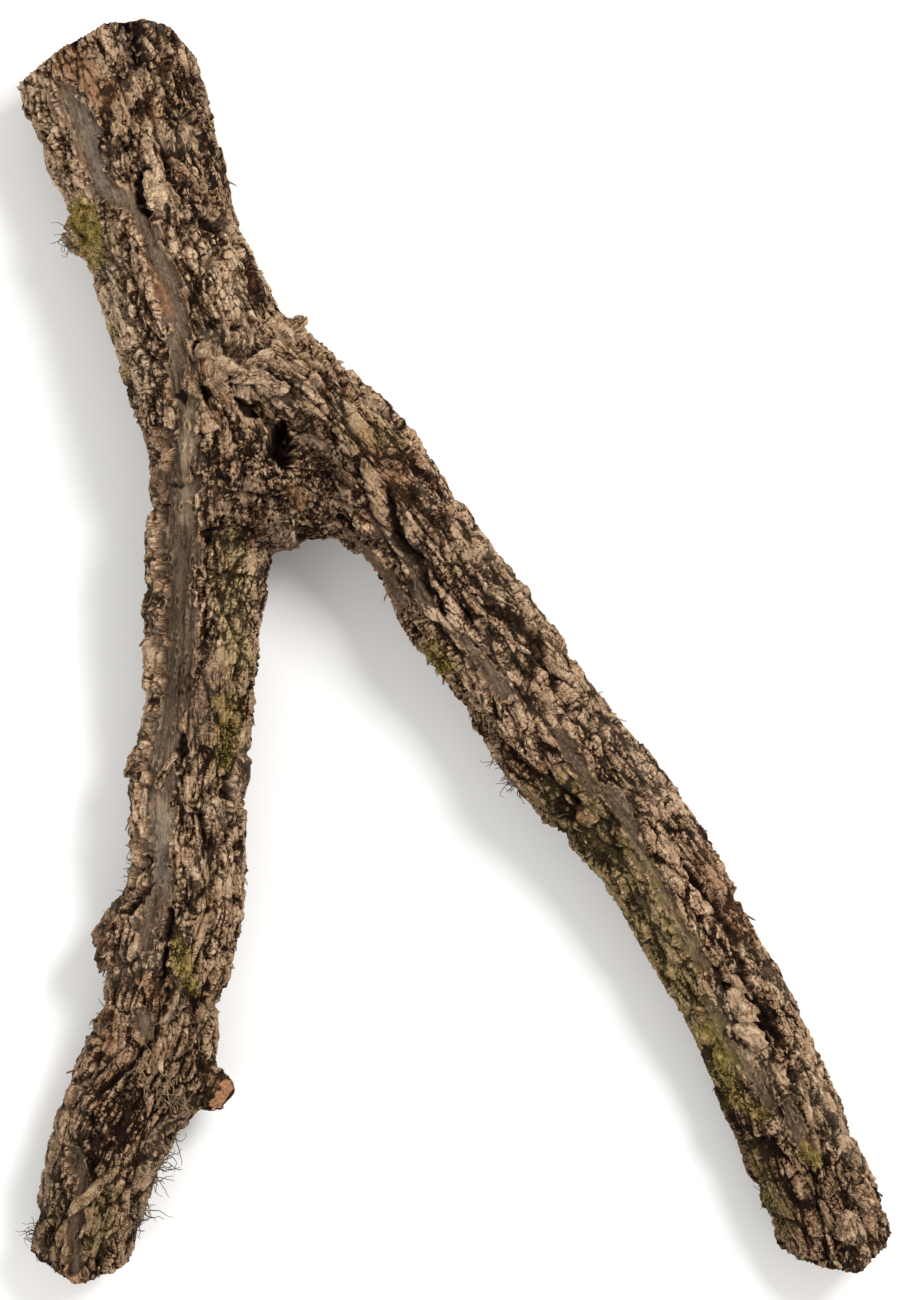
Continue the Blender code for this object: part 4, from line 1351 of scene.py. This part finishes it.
# %% Scales and crumbs of bark
# Each kind: how many, shortest and longest, width and thickness as shares of the length, lift, tone, and where.
CRUMB_PLACES = ((505, 800), (535, 812), (568, 838))
PLACES = {
    "scales": free & (smooth < 0.2) & (proud > 0.1),
    "crumbs": near_view(CRUMB_PLACES, 14.0) | near_view(((300, 440), (340, 475), (300, 520)), 22.0),
    "ledge": near_view(((85, 60), (108, 78), (128, 66)), 9.0) | near_view(((130, 30), (138, 76)), 9.0),
    "nest": near_view(((150, 1072), (178, 1092)), 12.0),
}
KINDS = (
    ("scales", 620, (4.0, 11.0), 0.38, 0.10, 0.35, 0.62),
    ("crumbs", 120, (2.0, 4.5), 0.75, 0.50, 0.30, 0.25),
    ("ledge", 60, (3.0, 7.0), 0.60, 0.35, 0.50, 0.60),
    ("nest", 30, (3.0, 6.0), 0.60, 0.30, 0.50, 0.50),
)
SCALE_PULL = 0.22
SCALE_STAIN = 0.8


def frame_at(index, turn, lift, outward_at=outward_of):
    """A right-angled frame on the skin: along the grain turned by an angle and lifted, to the side, and out."""
    out = Vector(outward_at[index]).normalized()
    along = Vector(way_along[index])
    along = (along - out * along.dot(out)).normalized()
    along.rotate(Matrix.Rotation(turn, 3, out))
    side = out.cross(along)
    along.rotate(Matrix.Rotation(-lift, 3, side))
    return Matrix([along, side, along.cross(side)]).transposed()


def bark_layers_of(bm):
    """Layers for the numbers that the bark's material reads, by name."""
    layers = {name: bm.verts.layers.float.new(name) for name in ("tone", "dark", "smooth", "seam")}
    layers["grain"] = bm.verts.layers.float_vector.new("grain")
    layers["stain"] = bm.verts.layers.float_color.new("stain")
    return layers


def as_bark(vertex, layers, **numbers):
    """Gives a point of loose bark its numbers. It lies in no crack and isn't smooth."""
    for name, layer in layers.items():
        vertex[layer] = numbers.get(name, 0.0)


dice = random.Random(5)
scales_bm = bmesh.new()
scale_layers = bark_layers_of(scales_bm)
for seed, (kind, amount, lengths, width, thickness, lift, lightness) in enumerate(KINDS):
    for index in drawn(PLACES[kind], amount, seed):
        length = dice.uniform(*lengths)
        turned = frame_at(index, dice.gauss(0.0, 0.35), dice.uniform(0.1, 1.0) * lift)
        sized = Matrix.Diagonal((length / 2, length * width / 2, max(length * thickness / 2, 0.35), 1.0))
        start = Vector(surface[index]) + turned.col[0] * (0.3 * length) - Vector(outward_of[index]) * 0.2
        placed = Matrix.Scale(MM, 4) @ Matrix.Translation(start) @ turned.to_4x4() @ sized
        made = bmesh.ops.create_icosphere(scales_bm, subdivisions=1, radius=1.0, matrix=placed)
        lighter = lightness + dice.gauss(0.0, 0.12)
        for vertex in made["verts"]:
            pulled = [dice.uniform(-SCALE_PULL, SCALE_PULL) * length * share for share in (0.5, width, thickness)]
            vertex.co += (turned @ Vector(pulled)) * MM
            there = Vector(grain[index]) * MM + vertex.co - placed.translation
            patch_there = stain[index] * (1.0, 1.0, 1.0, SCALE_STAIN)
            as_bark(vertex, scale_layers, tone=lighter, seam=OFF_SEAMS, grain=there, stain=patch_there)
bmesh.ops.recalc_face_normals(scales_bm, faces=scales_bm.faces)
add_piece("bark_scales", scales_bm, cork_bark)

# %% [markdown]
# A few plates have lifted so far that they stand out by themselves, such as the pale one beside the hollow of the
# trunk and the fins of the knob on the left leg. Each is a finer ball, flattened and roughened by noise.

# %% Lifted plates: place in the view, length, width, thickness, turn and lift in degrees, and tone
LIFTED = (
    ((161, 196), 30.0, 14.0, 4.0, -12.0, 12.0, 0.68),
    ((176, 205), 28.0, 10.0, 4.0, 8.0, 6.0, 0.60),
    ((182, 170), 13.0, 7.0, 5.0, 20.0, 40.0, 0.72),
    ((195, 186), 26.0, 9.0, 5.0, 24.0, 8.0, 0.62),
    ((176, 422), 15.0, 7.0, 4.0, 0.0, 12.0, 0.86),
    ((166, 440), 12.0, 10.0, 8.0, 0.0, 0.0, 0.50),
    ((210, 425), 16.0, 13.0, 6.0, 30.0, 10.0, 0.46),
    ((205, 357), 11.0, 10.0, 9.0, 0.0, 10.0, 0.48),
    ((252, 383), 26.0, 10.0, 6.0, 50.0, 12.0, 0.66),
    ((276, 394), 24.0, 9.0, 6.0, 38.0, 12.0, 0.70),
    ((232, 372), 22.0, 9.0, 7.0, 60.0, 18.0, 0.60),
    ((222, 392), 20.0, 10.0, 7.0, 20.0, 22.0, 0.52),
    ((262, 362), 22.0, 8.0, 6.0, 65.0, 14.0, 0.66),
    ((300, 326), 16.0, 10.0, 5.0, 70.0, 30.0, 0.52),
    ((326, 432), 16.0, 9.0, 6.0, -30.0, 25.0, 0.34),
    ((318, 462), 15.0, 9.0, 7.0, 40.0, 20.0, 0.30),
    ((346, 482), 16.0, 10.0, 7.0, 10.0, 25.0, 0.36),
    ((300, 500), 16.0, 9.0, 7.0, -40.0, 25.0, 0.36),
    ((262, 522), 18.0, 11.0, 7.0, 20.0, 20.0, 0.34),
    ((195, 870), 11.0, 9.0, 4.0, 0.0, 0.0, 0.84),
    ((134, 765), 16.0, 9.0, 9.0, 0.0, 0.0, 0.56),
    ((104, 925), 30.0, 6.0, 7.0, 6.0, 14.0, 0.40),
    ((101, 945), 34.0, 5.0, 8.0, -4.0, 12.0, 0.34),
    ((111, 935), 30.0, 6.0, 7.0, 2.0, 16.0, 0.48),
    ((550, 636), 22.0, 8.0, 5.0, 14.0, 18.0, 0.70),
    ((560, 668), 26.0, 8.0, 5.0, 6.0, 12.0, 0.68),
    ((545, 700), 20.0, 12.0, 5.0, -10.0, 10.0, 0.60),
    ((590, 812), 14.0, 10.0, 6.0, 20.0, 20.0, 0.66),
    ((740, 1002), 26.0, 14.0, 6.0, -6.0, 8.0, 0.66),
    ((752, 1032), 24.0, 14.0, 6.0, 8.0, 8.0, 0.70),
    ((862, 1200), 22.0, 14.0, 7.0, 20.0, 14.0, 0.56),
    ((846, 1225), 22.0, 14.0, 7.0, -25.0, 14.0, 0.60),
    ((147, 806), 24.0, 5.0, 5.0, 4.0, 10.0, 0.72),
    ((168, 772), 28.0, 6.0, 5.0, -18.0, 10.0, 0.76),
    ((60, 1140), 40.0, 8.0, 6.0, 4.0, 8.0, 0.50),
    ((96, 1188), 44.0, 7.0, 6.0, -32.0, 8.0, 0.56),
)
PLATE_NOISE = 6.0
SQUARENESS = 4.0
PLATE_STAIN = 0.6
PLATE_REACH = 2.0
STEP_SIZE = (7.0, 3.2)

lifted_bm = bmesh.new()
plate_layers = bark_layers_of(lifted_bm)
for pixel, length, width, thickness, turn, lift, lightness in LIFTED:
    away = np.linalg.norm(moved[:, :2] - from_view([pixel])[0], axis=1)
    near = np.flatnonzero(away < PLATE_REACH)
    index = near[np.argmax(surface[near, 2])]
    turned = frame_at(index, math.radians(turn), math.radians(lift), normals)
    start = Vector(surface[index]) + Vector(normals[index]) * (0.1 * thickness)
    for vertex in bmesh.ops.create_icosphere(lifted_bm, subdivisions=4, radius=1.0)["verts"]:
        blunt = vertex.co / sum(abs(part) ** SQUARENESS for part in vertex.co) ** (1.0 / SQUARENESS)
        local = Vector((blunt.x * length, blunt.y * width, blunt.z * thickness)) / 2
        drawn_out = Vector((local.x / 2.5, *local.yz)) / PLATE_NOISE
        rough_by = noise.fractal(drawn_out + Vector((*pixel, 0.0)), 0.7, 2.0, 4)
        stepped = noise.cell(Vector((local.x / STEP_SIZE[0], local.y / STEP_SIZE[1], pixel[0]))) - 0.5
        local.x += 0.14 * length * rough_by
        local.y += 0.3 * width * rough_by
        local.z += (0.3 * rough_by + 0.25 * stepped) * thickness
        vertex.co = (start + turned @ local) * MM
        lighter = lightness + 0.3 * rough_by + 0.2 * stepped
        there = (Vector(grain[index]) + local) * MM
        patch_there = stain[index] * (1.0, 1.0, 1.0, PLATE_STAIN)
        as_bark(vertex, plate_layers, tone=lighter, seam=1.5 + rough_by, grain=there, stain=patch_there)
for face in lifted_bm.faces:
    face.smooth = True
bmesh.ops.recalc_face_normals(lifted_bm, faces=lifted_bm.faces)
add_piece("lifted_plates", lifted_bm, cork_bark)

# %% [markdown]
# Moss is a crowd of tiny leafy shoots. From a step away each shoot is only a pointed tuft, so a three-sided cone
# stands for it, and the colour changes from tuft to tuft.

# %% Moss shoots: how many, the path where they grow, and how far from it
MOSS_PLACES = (
    (900, ((84, 218), (93, 238), (99, 256)), 11.0),
    (160, ((430, 650), (444, 664)), 7.0),
    (140, ((228, 712), (226, 752)), 6.0),
    (160, ((181, 946), (188, 980)), 7.0),
    (260, ((640, 930), (668, 990), (700, 1050)), 10.0),
    (160, ((706, 1034), (735, 1098), (757, 1112)), 5.0),
    (60, ((803, 1146), (811, 1156)), 5.0),
    (120, ((750, 1170), (772, 1220)), 8.0),
)
TUFT_HEIGHTS = (1.0, 2.4)
TUFT_FOOT = 0.75
TUFT_TIP = 0.1


def dry_growth(name, scale, deep, light, roughness):
    """A dull material of two colours, speckled by noise of that scale; returns the material and the shader."""
    material, shader = new_material(name)
    tree = material.node_tree
    place = add_node(tree, "ShaderNodeTexCoord", {}, "Object")
    speckle = add_node(tree, "ShaderNodeTexNoise", {"Scale": scale, "Detail": 2.0, "Vector": place})
    tree.links.new(speckled(tree, speckle, deep, light), shader.inputs["Base Color"])
    shader.inputs["Roughness"].default_value = roughness
    return material, shader


moss_bm = bmesh.new()
for seed, (amount, path, reach) in enumerate(MOSS_PLACES, 20):
    for index in drawn(near_view(path, reach), amount, seed):
        tall = dice.uniform(*TUFT_HEIGHTS)
        turned = frame_at(index, dice.uniform(*ANY_WAY), dice.uniform(0.6, 1.3))
        up = turned.col[0]
        start = Vector(surface[index]) + up * (0.3 * tall)
        pointing = up.to_track_quat("Z", "Y").to_matrix().to_4x4()
        placed = Matrix.Scale(MM, 4) @ Matrix.Translation(start) @ pointing
        bmesh.ops.create_cone(
            moss_bm, cap_ends=True, segments=3, radius1=TUFT_FOOT, radius2=TUFT_TIP, depth=tall, matrix=placed
        )
moss_leaf, moss_shader = dry_growth("cushion_moss", 350.0, "#6b5a28", "#b09a58", 0.9)
moss_shader.inputs["Specular IOR Level"].default_value = 0.15
add_piece("moss_shoots", moss_bm, moss_leaf)

# %% [markdown]
# Beard lichen and bits of straw are threads. Each is a curve with a thin round section, bent a little more at
# every step. Lichen stands out from the bark and curls; straw lies almost flat on it.

# %% Threads: how many, the path where they sit, its reach, length, thickness, how far they stand up, and material
LICHEN = (
    (36, ((64, 228), (70, 240)), 8.0, (8.0, 18.0), 0.42, 0.8),
    (22, ((130, 856), (128, 868)), 9.0, (6.0, 12.0), 0.42, 0.8),
    (26, ((118, 893), (104, 916)), 9.0, (6.0, 14.0), 0.42, 0.8),
    (18, ((104, 975), (106, 984)), 8.0, (6.0, 12.0), 0.42, 0.8),
    (18, ((106, 1000), (100, 1024)), 8.0, (6.0, 12.0), 0.42, 0.8),
    (30, ((36, 1240), (30, 1250)), 10.0, (8.0, 18.0), 0.42, 0.8),
    (50, ((156, 1180), (172, 1150)), 9.0, (9.0, 24.0), 0.45, 0.7),
    (36, ((138, 1212), (134, 1222)), 9.0, (9.0, 24.0), 0.45, 0.7),
    (40, ((492, 766), (512, 790)), 9.0, (8.0, 20.0), 0.45, 0.8),
    (16, ((427, 655), (432, 662)), 7.0, (5.0, 10.0), 0.40, 0.8),
    (16, ((533, 612), (545, 625)), 7.0, (5.0, 10.0), 0.40, 0.8),
    (16, ((764, 1205), (768, 1212)), 7.0, (6.0, 12.0), 0.40, 0.8),
)
STRAW = (
    (60, ((150, 1070), (180, 1094)), 10.0, (8.0, 22.0), 0.42, 0.16),
    (10, ((168, 1000), (172, 1020)), 8.0, (7.0, 14.0), 0.38, 0.12),
    (10, ((540, 800), (570, 820)), 10.0, (7.0, 14.0), 0.38, 0.15),
)
THREAD_STEPS = 6


def add_threads(name, bundles, seed, curl, material):
    """Thin bent threads as one mesh."""
    curve = bpy.data.curves.new(name, "CURVE")
    curve.dimensions = "3D"
    curve.bevel_depth = 1.0 * MM
    curve.bevel_resolution = 0
    curve.use_fill_caps = True
    for number, (amount, path, reach, lengths, radius, rise) in enumerate(bundles):
        for index in drawn(near_view(path, reach), amount, seed + number):
            turned = frame_at(index, dice.uniform(*ANY_WAY), rise * dice.uniform(0.4, 1.4))
            heading = turned.col[0]
            here = Vector(surface[index]) - heading * 0.5
            step = dice.uniform(*lengths) / THREAD_STEPS
            spline = curve.splines.new("POLY")
            spline.points.add(THREAD_STEPS)
            for place_number, thread_point in enumerate(spline.points):
                thread_point.co = (*(here * MM), 1.0)
                thread_point.radius = radius * (1.0 - 0.6 * place_number / THREAD_STEPS)
                heading = (heading + Vector([dice.gauss(0.0, curl) for _ in range(3)])).normalized()
                here = here + heading * step
    holder = bpy.data.objects.new(name, curve)
    bpy.context.scene.collection.objects.link(holder)
    mesh = bpy.data.meshes.new_from_object(holder.evaluated_get(bpy.context.evaluated_depsgraph_get()))
    bpy.data.objects.remove(holder)
    add_piece(name, mesh, material)


beard_lichen, _ = dry_growth("beard_lichen", 250.0, "#2b231a", "#6f6248", 0.8)
dry_straw, _ = dry_growth("dry_straw", 250.0, "#5f4d34", "#a38d66", 0.8)
add_threads("lichen_threads", LICHEN, 40, 0.45, beard_lichen)
add_threads("straw_bits", STRAW, 60, 0.3, dry_straw)
